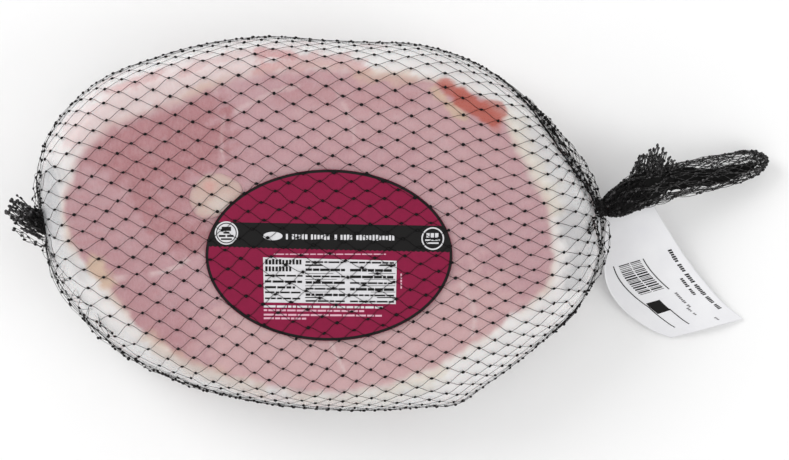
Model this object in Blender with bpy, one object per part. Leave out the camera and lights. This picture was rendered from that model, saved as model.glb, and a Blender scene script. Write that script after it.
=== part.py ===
"""A thick bone-in ham steak in clear film and a knotted carry net, with its label, handle and tag.

The steak lies on one cut face with the other cut face up. +X runs to the net's handle, +Z up, and
the origin is the middle of the flat face it rests on. The wrapped steak is one closed solid, out
to the net. The oval label, the net's two twisted ends and the paper tag are solids of their own.
"""

import math

import bmesh
import bpy
import numpy as np
from mathutils import Vector

MM = 0.001
GAP = 0.35  # mm kept between neighbouring solids

# The wrapped steak, in mm.
OUTLINE = (  # distance of the widest line from the origin, every 15 degrees from +X
    135.0, 124.5, 116.0, 107.5, 98.4, 89.8, 87.8, 92.6, 100.3, 112.2, 129.0, 137.6,
    133.2, 127.2, 116.6, 104.2, 95.4, 91.0, 90.2, 94.0, 102.0, 111.2, 120.0, 132.5,
)
CREASE_INSET = (20.0, 17.0, 17.0, 15.0, 13.0, 14.0, 11.0, 19.0)  # cut edge from OUTLINE, every 45
BASE_INSET = 15.0
BELLY_HEIGHT = 34.0  # height of the widest line
FACE_HEIGHT = 67.5  # height of the upper cut face at its rim
FACE_CROWN = 2.5  # how much higher its middle stands
UPPER_FULLNESS = 1.75  # superellipse power of the side above the belly
LOWER_FULLNESS = 2.1
AROUND = 96
SIDE_STEPS = 6
FACE_STEPS = 5

# The net, bunched into a ridge along one edge and twisted shut at both ends, in mm.
RIDGE_ANGLES = (39.0, 3.5)  # where the ridge starts and where it reaches the neck
RIDGE_RADII = (1.8, 5.2)
RIDGE_HEIGHTS = (46.0, 35.0)
GATHER_ANGLES = (5.0, -11.0)
GATHER_RADII = (4.5, 1.6)
NECK_RADIUS = 4.6
NECK_REACH = 13.0  # how far a neck runs back into the pack from its mouth
RIGHT_MOUTH = (139.0, 7.8, 33.0)
LEFT_MOUTH = (-136.2, 1.6, 38.0)
ROPE_SIDES = 12

# The handle: the net's doubled rope, pressed flat, and its cut end, in mm.
HANDLE_ROUTE = (  # middle of the doubled rope, from the neck to the tip
    (148.0, 13.6, 30.5), (159.5, 18.0, 26.0), (173.0, 20.2, 21.0), (188.5, 23.6, 15.5),
    (202.0, 27.2, 10.8), (211.5, 29.4, 8.6),
)
HANDLE_WIDTHS = (8.8, 17.2, 18.8, 17.6, 16.8, 15.4, 8.0)
HANDLE_THICKNESSES = (8.8, 13.0, 14.0, 13.6, 13.2, 12.4, 8.0)
HANDLE_GROOVE = 0.16  # depth of the valley between the two runs, as a share of the thickness
HANDLE_SIDES = 20
HANDLE_RINGS = 22
TAIL_ROUTE = ((161.0, 22.0, 26.0), (161.5, 30.0, 28.0), (162.5, 36.0, 29.0))
TAIL_RADII = (6.0, 6.6, 3.0)

# The twisted cut end at the other side, in mm.
TUFT_ROUTE = ((-140.2, 3.6, 38.5), (-144.4, 7.2, 39.0), (-148.6, 12.0, 39.5))
TUFT_RADII = (4.6, 6.6, 6.4, 3.4)

# The oval label, in mm.
LABEL_CENTRE = (4.6, -15.8)
LABEL_HALF = (58.8, 40.8)
LABEL_THICKNESS = 0.4
LABEL_AROUND = 48
LABEL_RINGS = 5

# The tag: a paper strip that hangs from under the handle to the floor, in mm.
TAG_LEFT_EDGE = (
    (138.0, 5.2, 22.5), (139.0, 0.0, 20.5), (138.2, -13.4, 14.0), (139.4, -29.6, 8.0),
    (147.4, -42.4, 4.4), (160.4, -52.4, 2.2), (169.6, -56.6, 1.0),
)
TAG_RIGHT_EDGE = (
    (159.4, 11.4, 18.2), (161.4, 7.2, 17.6), (167.2, -4.0, 14.0), (176.2, -18.2, 9.6),
    (186.0, -30.8, 5.6), (194.4, -40.0, 2.8), (203.6, -47.0, 1.0),
)
TAG_ARCH = (1.2, 3.0)  # rise of the strip's middle at its top and at its foot
TAG_THICKNESS = 0.45
TAG_ACROSS = 8
TAG_ALONG = 20

COLOURS = {
    "netted_pack": ((0.53, 0.28, 0.28, 1.0), 0.35),
    "label": ((0.22, 0.02, 0.07, 1.0), 0.45),
    "net_handle": ((0.012, 0.012, 0.012, 1.0), 0.55),
    "net_tuft": ((0.012, 0.012, 0.012, 1.0), 0.55),
    "tag": ((0.78, 0.79, 0.80, 1.0), 0.4),
}


def clear_scene():
    for obj in list(bpy.data.objects):
        bpy.data.objects.remove(obj, do_unlink=True)


def spline(points, count):
    """count points evenly along the Catmull-Rom curve through the given ones."""
    given = np.asarray(points, float)
    padded = np.vstack((2 * given[0] - given[1], given, 2 * given[-1] - given[-2]))
    along = np.linspace(0, len(given) - 1, count)
    start = np.minimum(along.astype(int), len(given) - 2)
    t = (along - start)[:, None]
    a, b, c, d = (padded[start + k] for k in range(4))
    return 0.5 * (2 * b + (c - a) * t + (2 * a - 5 * b + 4 * c - d) * t**2
                  + (3 * b - a - 3 * c + d) * t**3)


def around(values, angles):
    """The smooth periodic curve through evenly spaced values, at angles in degrees."""
    ring = np.asarray(values, float)
    place = (np.asarray(angles, float) % 360.0) * len(ring) / 360.0
    start = place.astype(int)
    t = place - start
    a, b, c, d = (ring[(start + k) % len(ring)] for k in (-1, 0, 1, 2))
    return 0.5 * (2 * b + (c - a) * t + (2 * a - 5 * b + 4 * c - d) * t**2
                  + (3 * b - a - 3 * c + d) * t**3)


def face_height(x, y):
    """Height of the upper cut face, a low dome over an oval of the steak's own size."""
    return FACE_HEIGHT + FACE_CROWN * (1 - (x / 118.0) ** 2 - (y / 78.0) ** 2)


def material(name):
    colour, roughness = COLOURS[name]
    made = bpy.data.materials.new(name)
    made.use_nodes = True
    shader = made.node_tree.nodes["Principled BSDF"]
    shader.inputs["Base Color"].default_value = colour
    shader.inputs["Roughness"].default_value = roughness
    shader.inputs["Metallic"].default_value = 0.0
    return made


def mesh_object(name, bm):
    """The bmesh, given in mm, as an object in metres with its material and smooth shading."""
    bmesh.ops.recalc_face_normals(bm, faces=bm.faces)
    bmesh.ops.scale(bm, vec=(MM, MM, MM), verts=bm.verts)
    mesh = bpy.data.meshes.new(name)
    bm.to_mesh(mesh)
    bm.free()
    obj = bpy.data.objects.new(name, mesh)
    bpy.context.collection.objects.link(obj)
    if name in COLOURS:
        mesh.materials.append(material(name))
    mesh.shade_smooth()
    mesh.set_sharp_from_angle(angle=math.radians(50))
    return obj


def loft(rings, poles):
    """A closed skin over equal rings of points, each end drawn in to its pole."""
    bm = bmesh.new()
    loops = [[bm.verts.new(point) for point in ring] for ring in rings]
    for near, far in zip(loops, loops[1:]):
        for i in range(len(near)):
            j = (i + 1) % len(near)
            bm.faces.new((near[i], near[j], far[j], far[i]))
    for loop, pole in ((loops[0], poles[0]), (loops[-1], poles[1])):
        tip = bm.verts.new(pole)
        for i in range(len(loop)):
            bm.faces.new((loop[i], loop[(i + 1) % len(loop)], tip))
    return bm


def rope(name, route, half_widths, half_thicknesses, rings, sides, groove=0.0, lumps=0.0):
    """A tube of changing oval section along a smooth route, its width kept level.

    groove draws the section's middle in from above and below, as between two runs of a doubled
    rope, and lumps gives it the uneven bulges of twisted strands.
    """
    path = spline(route, rings)
    width = spline([(w, 0, 0) for w in half_widths], rings)[:, 0]
    thick = spline([(t, 0, 0) for t in half_thicknesses], rings)[:, 0]
    heading = np.gradient(path, axis=0)
    turn = np.linspace(0, 2 * math.pi, sides, endpoint=False)
    loops = []
    for i, centre in enumerate(path):
        along = Vector(heading[i]).normalized()
        side = along.cross(Vector((0, 0, 1))).normalized()
        up = side.cross(along)
        bulge = 1 + lumps * np.sin(3 * turn + 1.3 * i) * np.sin(0.9 * i + 0.7)
        valley = 1 - groove * np.exp(-(np.cos(turn) / 0.35) ** 2)
        across = np.outer(width[i] * np.cos(turn) * bulge, np.array(side))
        lift = np.outer(thick[i] * np.sin(turn) * bulge * valley, np.array(up))
        loops.append(centre + across + lift)
    return mesh_object(name, loft(loops, (path[0], path[-1])))


def fuse(target, others):
    """Join overlapping solids to the target with one exact union."""
    bpy.context.view_layer.update()
    for other in others:
        union = target.modifiers.new("union_" + other.name, "BOOLEAN")
        union.operation = "UNION"
        union.solver = "EXACT"
        union.object = other
    graph = bpy.context.evaluated_depsgraph_get()
    joined = bpy.data.meshes.new_from_object(target.evaluated_get(graph), depsgraph=graph)
    target.modifiers.clear()
    target.data = joined
    for other in others:
        bpy.data.objects.remove(other, do_unlink=True)


def side_quarter(power, steps):
    """Inward and upward shares along a quarter superellipse, from the belly to the flat."""
    angle = np.linspace(0, math.pi / 2, steps + 1)
    return 1 - np.cos(angle) ** (2 / power), np.sin(angle) ** (2 / power)


def wrapped_body():
    """The steak in its film, lofted from its flat base over the belly to the upper cut face."""
    angle = np.linspace(0, 360, AROUND, endpoint=False)
    widest = around(OUTLINE, angle)
    crease = around(CREASE_INSET, angle)
    unit = np.column_stack((np.cos(np.radians(angle)), np.sin(np.radians(angle))))
    rings = []

    def add(radius, height):
        spot = unit * radius[:, None]
        rise = height(spot[:, 0], spot[:, 1]) if callable(height) else np.full(AROUND, height)
        rings.append(np.column_stack((spot, rise)))

    for share in (0.35, 0.7):
        add((widest - BASE_INSET) * share, 0.0)
    inward, upward = side_quarter(LOWER_FULLNESS, SIDE_STEPS)
    for i in range(SIDE_STEPS, 0, -1):
        add(widest - BASE_INSET * inward[i], BELLY_HEIGHT * (1 - upward[i]))
    inward, upward = side_quarter(UPPER_FULLNESS, SIDE_STEPS)
    for i in range(SIDE_STEPS + 1):
        add(widest - crease * inward[i],
            lambda x, y, up=upward[i]: BELLY_HEIGHT + (face_height(x, y) - BELLY_HEIGHT) * up)
    for step in range(FACE_STEPS - 1, 0, -1):
        add((widest - crease) * step / FACE_STEPS, face_height)
    return mesh_object("netted_pack", loft(rings, ((0, 0, 0), (0, 0, face_height(0, 0)))))


def edge_rope(name, angles, radii, heights):
    """A tapering rope of bunched net laid along the pack's widest line."""
    angle = np.linspace(angles[0], angles[1], 9)
    share = np.linspace(0, 1, 9)
    radius = radii[0] + (radii[1] - radii[0]) * share
    height = heights[0] + (heights[1] - heights[0]) * share
    reach = around(OUTLINE, angle) + 2.0 - 0.6 * radius
    spots = np.column_stack((reach * np.cos(np.radians(angle)),
                             reach * np.sin(np.radians(angle)), height))
    return rope(name, spots, radius, radius, 20, ROPE_SIDES, lumps=0.1)


def from_mouth(mouth, route, distance):
    """The point that far out of a neck's mouth, towards the loose end's own first point."""
    heading = (Vector(route[0]) - Vector(mouth)).normalized()
    return tuple(Vector(mouth) + heading * distance)


def neck(name, mouth, route):
    """The short twisted throat of net that a loose end grows out of."""
    inner = from_mouth(mouth, route, -NECK_REACH)
    middle = from_mouth(mouth, route, -NECK_REACH / 2)
    radii = (2 * NECK_RADIUS, 1.4 * NECK_RADIUS, NECK_RADIUS)
    return rope(name, (inner, middle, mouth), radii, radii, 6, ROPE_SIDES)


def netted_pack():
    body = wrapped_body()
    fuse(body, [
        edge_rope("ridge", RIDGE_ANGLES, RIDGE_RADII, RIDGE_HEIGHTS),
        edge_rope("gather", GATHER_ANGLES, GATHER_RADII, (35.0, 33.0)),
        neck("right_neck", RIGHT_MOUTH, HANDLE_ROUTE),
        neck("left_neck", LEFT_MOUTH, TUFT_ROUTE),
    ])


def net_handle():
    half = [w / 2 for w in HANDLE_WIDTHS]
    deep = [t / 2 for t in HANDLE_THICKNESSES]
    root = from_mouth(RIGHT_MOUTH, HANDLE_ROUTE, GAP)
    handle = rope("net_handle", (root, *HANDLE_ROUTE), half, deep, HANDLE_RINGS, HANDLE_SIDES,
                  groove=HANDLE_GROOVE, lumps=0.04)
    tail = rope("tail", TAIL_ROUTE, TAIL_RADII, TAIL_RADII, 8, ROPE_SIDES, lumps=0.16)
    fuse(handle, [tail])


def net_tuft():
    root = from_mouth(LEFT_MOUTH, TUFT_ROUTE, GAP)
    rope("net_tuft", (root, *TUFT_ROUTE), TUFT_RADII, TUFT_RADII, 10, ROPE_SIDES, lumps=0.12)


def label():
    """A thin oval that follows the upper cut face, one gap above it."""
    turn = np.linspace(0, 2 * math.pi, LABEL_AROUND, endpoint=False)
    bm = bmesh.new()
    loops = []
    for step in range(LABEL_RINGS, 0, -1):
        x = LABEL_CENTRE[0] + LABEL_HALF[0] * step / LABEL_RINGS * np.cos(turn)
        y = LABEL_CENTRE[1] + LABEL_HALF[1] * step / LABEL_RINGS * np.sin(turn)
        loops.append([bm.verts.new(p) for p in zip(x, y, face_height(x, y) + GAP)])
    for outer, inner in zip(loops, loops[1:]):
        for i in range(LABEL_AROUND):
            j = (i + 1) % LABEL_AROUND
            bm.faces.new((outer[i], outer[j], inner[j], inner[i]))
    middle = bm.verts.new((*LABEL_CENTRE, face_height(*LABEL_CENTRE) + GAP))
    for i in range(LABEL_AROUND):
        bm.faces.new((loops[-1][i], loops[-1][(i + 1) % LABEL_AROUND], middle))
    sheet = mesh_object("label", bm)
    thicken(sheet, LABEL_THICKNESS, 1.0)


def thicken(sheet, thickness, offset):
    wall = sheet.modifiers.new("thickness", "SOLIDIFY")
    wall.thickness = thickness * MM
    wall.offset = offset


def tag():
    """A strip ruled between its two long edges, its middle arched up."""
    left = spline(TAG_LEFT_EDGE, TAG_ALONG + 1)
    right = spline(TAG_RIGHT_EDGE, TAG_ALONG + 1)
    bm = bmesh.new()
    rows = []
    for i, (a, b) in enumerate(zip(left, right)):
        arch = TAG_ARCH[0] + (TAG_ARCH[1] - TAG_ARCH[0]) * i / TAG_ALONG
        row = []
        for k in range(TAG_ACROSS + 1):
            share = k / TAG_ACROSS
            point = a + (b - a) * share
            point[2] += arch * math.sin(math.pi * share)
            row.append(bm.verts.new(point))
        rows.append(row)
    for near, far in zip(rows, rows[1:]):
        for k in range(TAG_ACROSS):
            bm.faces.new((near[k], near[k + 1], far[k + 1], far[k]))
    sheet = mesh_object("tag", bm)
    thicken(sheet, TAG_THICKNESS, 0.0)


def main():
    clear_scene()
    netted_pack()
    label()
    net_handle()
    net_tuft()
    tag()


main()
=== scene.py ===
# %% [markdown]
# # A netted bone-in ham steak
#
# The real object is a thick cut of cured ham with its bone in, shrunk into clear film and pulled
# into a tube of black knotted net. The net is twisted shut at both ends, and its long end is
# doubled back as a handle. An oval sticker lies on the film, under the net, and a paper tag hangs
# from the handle's root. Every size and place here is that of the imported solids. This file makes
# what the eye sees: the cut meat, the bone, the film, the net's strands and knots, and the print.

import math

import bpy
import numpy as np
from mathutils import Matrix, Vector


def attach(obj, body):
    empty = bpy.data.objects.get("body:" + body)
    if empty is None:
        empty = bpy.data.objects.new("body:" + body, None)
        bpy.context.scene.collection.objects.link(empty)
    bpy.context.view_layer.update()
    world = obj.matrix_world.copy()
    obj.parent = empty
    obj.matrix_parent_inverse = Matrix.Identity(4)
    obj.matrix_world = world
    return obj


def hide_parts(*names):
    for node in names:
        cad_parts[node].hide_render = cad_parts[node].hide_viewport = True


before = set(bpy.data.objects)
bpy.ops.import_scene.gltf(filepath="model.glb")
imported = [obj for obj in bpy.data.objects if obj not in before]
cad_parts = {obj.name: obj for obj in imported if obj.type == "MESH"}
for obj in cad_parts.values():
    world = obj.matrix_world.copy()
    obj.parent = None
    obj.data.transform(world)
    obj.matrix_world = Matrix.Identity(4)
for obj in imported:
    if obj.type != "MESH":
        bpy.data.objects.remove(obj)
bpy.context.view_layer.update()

# %% [markdown]
# ## Working in millimetres
#
# A food pack is easiest to think about in millimetres, so every array below holds millimetres and
# is turned into metres only as it goes into a mesh. `make_piece` is the one door from numpy to
# Blender: points and faces in, a smooth-shaded object at the origin out, already riding on the
# pack's body. Faces come as one array or as a list of arrays, because a lofted skin has quads with
# triangles at its poles.

# %% Arrays into pieces
MM = 0.001


def make_piece(name, points, faces, material, slot, smooth=True):
    """A mesh object whose vertices are points, in mm, times MM."""
    groups = faces if isinstance(faces, list) else [faces]
    polygons = [face for group in groups for face in np.asarray(group).tolist()]
    mesh = bpy.data.meshes.new(name)
    mesh.from_pydata((np.asarray(points) * MM).tolist(), [], polygons)
    mesh.validate()
    mesh.polygons.foreach_set("use_smooth", np.full(len(mesh.polygons), smooth))
    mesh.materials.append(material)
    piece = bpy.data.objects.new(name, mesh)
    bpy.context.collection.objects.link(piece)
    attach(piece, "root")
    print(f"{name}: {len(mesh.vertices)} vertices, {len(mesh.polygons)} faces")
    return piece


def give_values(piece, name, values):
    """Store one number for each vertex, which a material can read by name."""
    field = piece.data.attributes.new(name, "FLOAT", "POINT")
    field.data.foreach_set("value", np.asarray(values, np.float32))


def loop_grid(rings, around):
    """Quads between closed rings of points, numbered ring by ring."""
    i, j = np.meshgrid(np.arange(rings - 1), np.arange(around), indexing="ij")
    k = (j + 1) % around
    return np.stack((i * around + j, i * around + k, (i + 1) * around + k,
                     (i + 1) * around + j), axis=-1).reshape(-1, 4)


def fan(centre, ring, flip):
    """Triangles from one centre vertex to a closed ring of vertices."""
    ring = np.asarray(ring)
    nxt = np.roll(ring, -1)
    pair = (nxt, ring) if flip else (ring, nxt)
    return np.stack((np.full(len(ring), centre), *pair), axis=-1)


def capped(rings, around, flip=False):
    """Faces of a closed skin: its rings, and a fan from each of the two poles that follow them."""
    quads, pole = loop_grid(rings, around), rings * around
    first = np.arange(around)
    last = (rings - 1) * around + first
    return [quads[:, ::-1] if flip else quads, fan(pole, first, not flip),
            fan(pole + 1, last, flip)]


# %% [markdown]
# ## Smooth curves and slow noise
#
# Nearly every shape here is a smooth curve through a few chosen values. `spline` runs through
# points in a row and `around` through values on a circle, both with the Catmull-Rom formula.
# `wander` is the slow, cloudy noise of meat and fat, made as a sum of plane waves with seeded
# directions. It is the same every run, and it works on whole arrays.

# %% Curves and noise
def catmull(a, b, c, d, t):
    """The Catmull-Rom cubic from b to c at share t, with a and d as its neighbours."""
    return 0.5 * (2 * b + (c - a) * t + (2 * a - 5 * b + 4 * c - d) * t**2
                  + (3 * b - a - 3 * c + d) * t**3)


def spline(points, count):
    """count points along the smooth curve through the given ones."""
    given = np.asarray(points, float)
    if given.ndim == 1:
        given = given[:, None]
    padded = np.vstack((2 * given[0] - given[1], given, 2 * given[-1] - given[-2]))
    along = np.linspace(0, len(given) - 1, count)
    start = np.minimum(along.astype(int), len(given) - 2)
    t = (along - start)[:, None]
    curve = catmull(*(padded[start + k] for k in range(4)), t)
    return curve[:, 0] if np.asarray(points).ndim == 1 else curve


def around(values, angles):
    """The smooth closed curve through evenly spaced values, at angles in radians."""
    ring = np.asarray(values, float)
    place = (np.degrees(angles) % 360.0) * len(ring) / 360.0
    start = place.astype(int)
    return catmull(*(ring[(start + k) % len(ring)] for k in (-1, 0, 1, 2)), place - start)


def wander(x, y, wavelength, seed):
    """Cloudy noise of about -1 to 1: seven plane waves with seeded headings and phases."""
    draw = np.random.default_rng(seed)
    heading = draw.uniform(0, 2 * math.pi, 7)
    scale = 2 * math.pi / (wavelength * draw.uniform(0.6, 1.7, 7))
    phase = draw.uniform(0, 2 * math.pi, 7)
    total = sum(np.sin(s * (x * math.cos(h) + y * math.sin(h)) + p)
                for h, s, p in zip(heading, scale, phase))
    return total / 3.2


def ramp(value, low, high):
    """0 below low, 1 above high, and an even S between them."""
    t = np.clip((value - low) / (high - low), 0, 1)
    return t * t * (3 - 2 * t)


# %% [markdown]
# ## Camera, floor and light
#
# A pack like this is sold by its cut face, so the camera looks straight down on it through a long
# lens, which keeps the net's rows parallel. The floor is white paper. Soft light from all round,
# as in a light tent, would make the form flat on its own, so two large lamps add a gentle slope
# of light from the left and from behind. They stand aside, because a lamp right above the film
# would mirror in it and veil the meat.

# %% Camera, floor and light
FRAME_WIDTH, FRAME_HEIGHT = 789, 460
MM_PER_PIXEL = 0.48  # at the height of EYE_LEVEL
EYE_LEVEL = 50.0
CAMERA_HEIGHT = 2200.0
ORIGIN_PIXEL = (320.0, 222.0)  # the pixel of the frame that shows the object's origin
SENSOR = 36.0
FLOOR_SIZE, FLOOR_DROP = 6.0, 0.0002  # in metres, like the lamps' places and widths
FLOOR_WHITE = 0.95
TENT_STRENGTH = 0.80
LAMPS = (  # name, place, width, watts
    ("key", (-1.3, 0.9, 1.5), 1.2, 15.0),
    ("fill", (1.5, -0.7, 1.3), 1.2, 7.0),
)


def from_pixel(px, py):
    """Millimetres on the object for a pixel of the frame."""
    return (px - ORIGIN_PIXEL[0]) * MM_PER_PIXEL, (ORIGIN_PIXEL[1] - py) * MM_PER_PIXEL


def set_camera():
    """A camera straight above: lens = sensor times distance over the width in view."""
    data = bpy.data.cameras.new("camera")
    data.sensor_width = SENSOR
    data.lens = SENSOR * (CAMERA_HEIGHT - EYE_LEVEL) / (FRAME_WIDTH * MM_PER_PIXEL)
    data.clip_end = 20.0
    camera = bpy.data.objects.new("camera", data)
    x, y = from_pixel(FRAME_WIDTH / 2, FRAME_HEIGHT / 2)
    camera.location = (x * MM, y * MM, CAMERA_HEIGHT * MM)
    bpy.context.collection.objects.link(camera)
    bpy.context.scene.camera = camera


def set_floor():
    """A wide sheet of white paper, a hair below the object."""
    paper = bpy.data.materials.new("floor_paper")
    paper.use_nodes = True
    shader = paper.node_tree.nodes["Principled BSDF"]
    shader.inputs["Base Color"].default_value = (FLOOR_WHITE, FLOOR_WHITE, FLOOR_WHITE, 1)
    shader.inputs["Roughness"].default_value = 0.9
    shader.inputs["Specular IOR Level"].default_value = 0.1
    bpy.ops.mesh.primitive_plane_add(size=FLOOR_SIZE, location=(0, 0, -FLOOR_DROP))
    floor = bpy.context.object
    floor.name = "floor"
    floor.data.materials.append(paper)


def lamp(name, place, size, power):
    """A round lamp that faces the origin."""
    data = bpy.data.lights.new(name, "AREA")
    data.shape = "DISK"
    data.size = size
    data.energy = power
    light = bpy.data.objects.new(name, data)
    light.location = place
    light.rotation_euler = (-Vector(place)).to_track_quat("-Z", "Y").to_euler()
    bpy.context.collection.objects.link(light)


def set_light():
    """Even white light from all round, and the lamps."""
    world = bpy.data.worlds.new("light_tent")
    world.use_nodes = True
    tent = world.node_tree.nodes["Background"]
    tent.inputs["Color"].default_value = (1.0, 1.0, 1.0, 1)
    tent.inputs["Strength"].default_value = TENT_STRENGTH
    bpy.context.scene.world = world
    for given in LAMPS:
        lamp(*given)
    bpy.context.scene.view_settings.view_transform = "Standard"


set_camera()
set_floor()
set_light()
print("camera", [round(v, 3) for v in bpy.context.scene.camera.location])

# %% [markdown]
# ## The wrapped form
#
# The steak is a slice across a leg: a flat face below, a flat face above, and a bulging side of
# fat between them. Its plan is an uneven oval, held here as distances from the middle at even
# angles. The side is a superellipse, so one power says how full it is. Three tools follow from
# these few sizes. `bulge` is zero on the skin, negative inside and positive outside, and its
# slope gives the outward direction. `settle` drops any points onto the skin, or a chosen height
# above it. `unroll_point` walks a given distance over the skin from the middle of the upper face,
# as a tape measure would, which is how the flat net finds its place on the round pack.

# %% The form as a function
OUTLINE = (
    135.0, 124.5, 116.0, 107.5, 98.4, 89.8, 87.8, 92.6, 100.3, 112.2, 129.0, 137.6,
    133.2, 127.2, 116.6, 104.2, 95.4, 91.0, 90.2, 94.0, 102.0, 111.2, 120.0, 132.5,
)
CREASE_INSET = (20.0, 17.0, 17.0, 15.0, 13.0, 14.0, 11.0, 19.0)
BASE_INSET = 15.0
BELLY_HEIGHT = 34.0
FACE_HEIGHT = 67.5
FACE_CROWN = 2.5
UPPER_FULLNESS = 1.75
LOWER_FULLNESS = 2.1
CORNER_TURN, CORNER_RISE, CORNER_SPREAD = 307.0, 3.6, 6.0
SIDE_STEPS = 24
FLAT_STEPS = 8


def face_height(x, y):
    """Height of the upper cut face, a low dome."""
    return FACE_HEIGHT + FACE_CROWN * (1 - (x / 118.0) ** 2 - (y / 78.0) ** 2)


def plan(angle):
    """Distance from the middle to the widest line: the even points, and one corner between two."""
    turn = np.degrees(angle) % 360
    corner = CORNER_RISE * np.exp(-(((turn - CORNER_TURN) / CORNER_SPREAD) ** 2))
    return around(OUTLINE, angle) + corner


def bulge(points):
    """The superellipse sum of the inward and upward shares, less one."""
    x, y, z = points.T
    angle = np.arctan2(y, x)
    upper = z >= BELLY_HEIGHT
    inset = np.where(upper, around(CREASE_INSET, angle), BASE_INSET)
    power = np.where(upper, UPPER_FULLNESS, LOWER_FULLNESS)
    height = np.where(upper, face_height(x, y) - BELLY_HEIGHT, BELLY_HEIGHT)
    out = np.maximum(0, (np.hypot(x, y) - plan(angle) + inset) / inset)
    up = np.abs(z - BELLY_HEIGHT) / height
    return (out**power + up**power) ** (1 / power) - 1


def slope(points, reach=0.05):
    """The gradient of bulge by central differences."""
    steps = np.eye(3) * reach
    return np.stack([(bulge(points + s) - bulge(points - s)) / (2 * reach) for s in steps], 1)


def outward(points):
    """The unit outward direction."""
    g = slope(points)
    return g / np.maximum(np.linalg.norm(g, axis=1, keepdims=True), 1e-9)


def settle(points, lift=0.0, rounds=4):
    """Newton steps along the slope onto the skin, then lift along the outward direction."""
    points = np.array(points, float)
    for _ in range(rounds):
        g = slope(points)
        points -= bulge(points)[:, None] * g / ((g**2).sum(1, keepdims=True) + 1e-12)
    return points + outward(points) * np.asarray(lift).reshape(-1, 1)


def profiles(angle):
    """The line over the skin at each angle: radius, height, tape, and tape to the widest line."""
    widest = plan(angle)[:, None]
    crease = around(CREASE_INSET, angle)[:, None]
    cos, sin = np.cos(angle)[:, None], np.sin(angle)[:, None]
    quarter = np.linspace(math.pi / 2, 0, SIDE_STEPS + 1)[None]
    share = np.linspace(0, 1, FLAT_STEPS + 1)[None]
    flat = (widest - crease) * share[:, :-1]
    upper = widest - crease * (1 - np.cos(quarter) ** (2 / UPPER_FULLNESS))
    rise = np.sin(quarter) ** (2 / UPPER_FULLNESS)
    rim = face_height(upper * cos, upper * sin)
    back = quarter[:, ::-1][:, 1:]
    lower = widest - BASE_INSET * (1 - np.cos(back) ** (2 / LOWER_FULLNESS))
    drop = BELLY_HEIGHT * (1 - np.sin(back) ** (2 / LOWER_FULLNESS))
    base = (widest - BASE_INSET) * (1 - share[:, 1:])
    radius = np.hstack((flat, upper, lower, base))
    height = np.hstack((face_height(flat * cos, flat * sin),
                        BELLY_HEIGHT + (rim - BELLY_HEIGHT) * rise,
                        np.broadcast_to(drop, lower.shape), np.zeros_like(base)))
    step = np.hypot(np.diff(radius, axis=1), np.diff(height, axis=1))
    tape = np.hstack((np.zeros((len(angle), 1)), np.cumsum(step, axis=1)))
    return radius, height, tape, tape[:, FLAT_STEPS + SIDE_STEPS]


def unroll_point(tape_length, angle, from_base=False):
    """The point a tape length out from the middle of the upper face, or of the base."""
    radius, height, tape, _ = profiles(angle)
    length = np.where(from_base, tape[:, -1] - tape_length, tape_length)
    length = np.clip(length, 0, tape[:, -1] - 1e-6)
    i = np.clip((tape <= length[:, None]).sum(1) - 1, 0, tape.shape[1] - 2)
    row = np.arange(len(length))
    t = (length - tape[row, i]) / np.maximum(tape[row, i + 1] - tape[row, i], 1e-9)
    r = radius[row, i] + (radius[row, i + 1] - radius[row, i]) * t
    z = height[row, i] + (height[row, i + 1] - height[row, i]) * t
    return np.column_stack((r * np.cos(angle), r * np.sin(angle), z))


print("skin check, worst bulge:", float(np.abs(bulge(
    unroll_point(np.full(72, 95.0), np.linspace(0, 6.2, 72)))).max().round(4)))

# %% [markdown]
# ## A skin over the whole form
#
# The meat and the film are the same kind of surface: rings of points round the pack at even
# shares of the tape length, from a pole in the middle of the upper face to one in the middle of
# the base. The rings crowd where the side bends. One function makes both, so the film always
# keeps its distance from the meat.

# %% One skin function
def skin_rings(around_count, shares, lift):
    """Points at each share of the tape length and each angle, lifted off the form."""
    angle = np.linspace(0, 2 * math.pi, around_count, endpoint=False)
    _, _, tape, _ = profiles(angle)
    spots = [unroll_point(tape[:, -1] * share, angle) for share in shares]
    return settle(np.concatenate(spots), lift)


def skin_mesh(around_count, shares, lift):
    """The rings with a pole at each end: points and outward faces."""
    rings = skin_rings(around_count, shares, lift)
    poles = [[0, 0, face_height(0, 0) + lift], [0, 0, -lift]]
    return np.concatenate((rings, poles)), capped(len(shares), around_count, True)


# %% [markdown]
# ## The cut meat
#
# The face shows cured lean: rose pink, with deeper muscles towards one end, one brick-red muscle
# near the rim, cream fat where the lean ends, and white fat down the side. These are places, not
# textures, so each is a soft-edged smear along a short line, stored on the mesh as a value from 0
# to 1. The material then only mixes colours by those values and adds the fine grain of the fibres.
# The lean and its seams also stand a little proud or hollow, as cut muscle does.

# %% The meat's shape and zones
MEAT_INSET = 0.9  # how far the meat lies below the form's skin
MEAT_AROUND = 420


def smear(x, y, pixels, half_width, soft):
    """1 within half_width of the smooth line through the pixels, falling to 0 over soft, in mm."""
    line = np.array([from_pixel(*pixel) for pixel in pixels])
    if len(line) > 1:
        line = spline(line, 24)
    reach = np.min([np.hypot(x - a, y - b) for a, b in line], axis=0)
    ragged = 0.35 * soft * wander(x, y, 9.0, 5) + 0.15 * soft * wander(x, y, 3.0, 6)
    return 1 - ramp(reach + ragged, half_width, half_width + soft)


def strongest(x, y, smears):
    """The largest of several smears, each times its strength."""
    return np.max([k * smear(x, y, line, half, soft) for line, half, soft, k in smears], axis=0)


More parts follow.
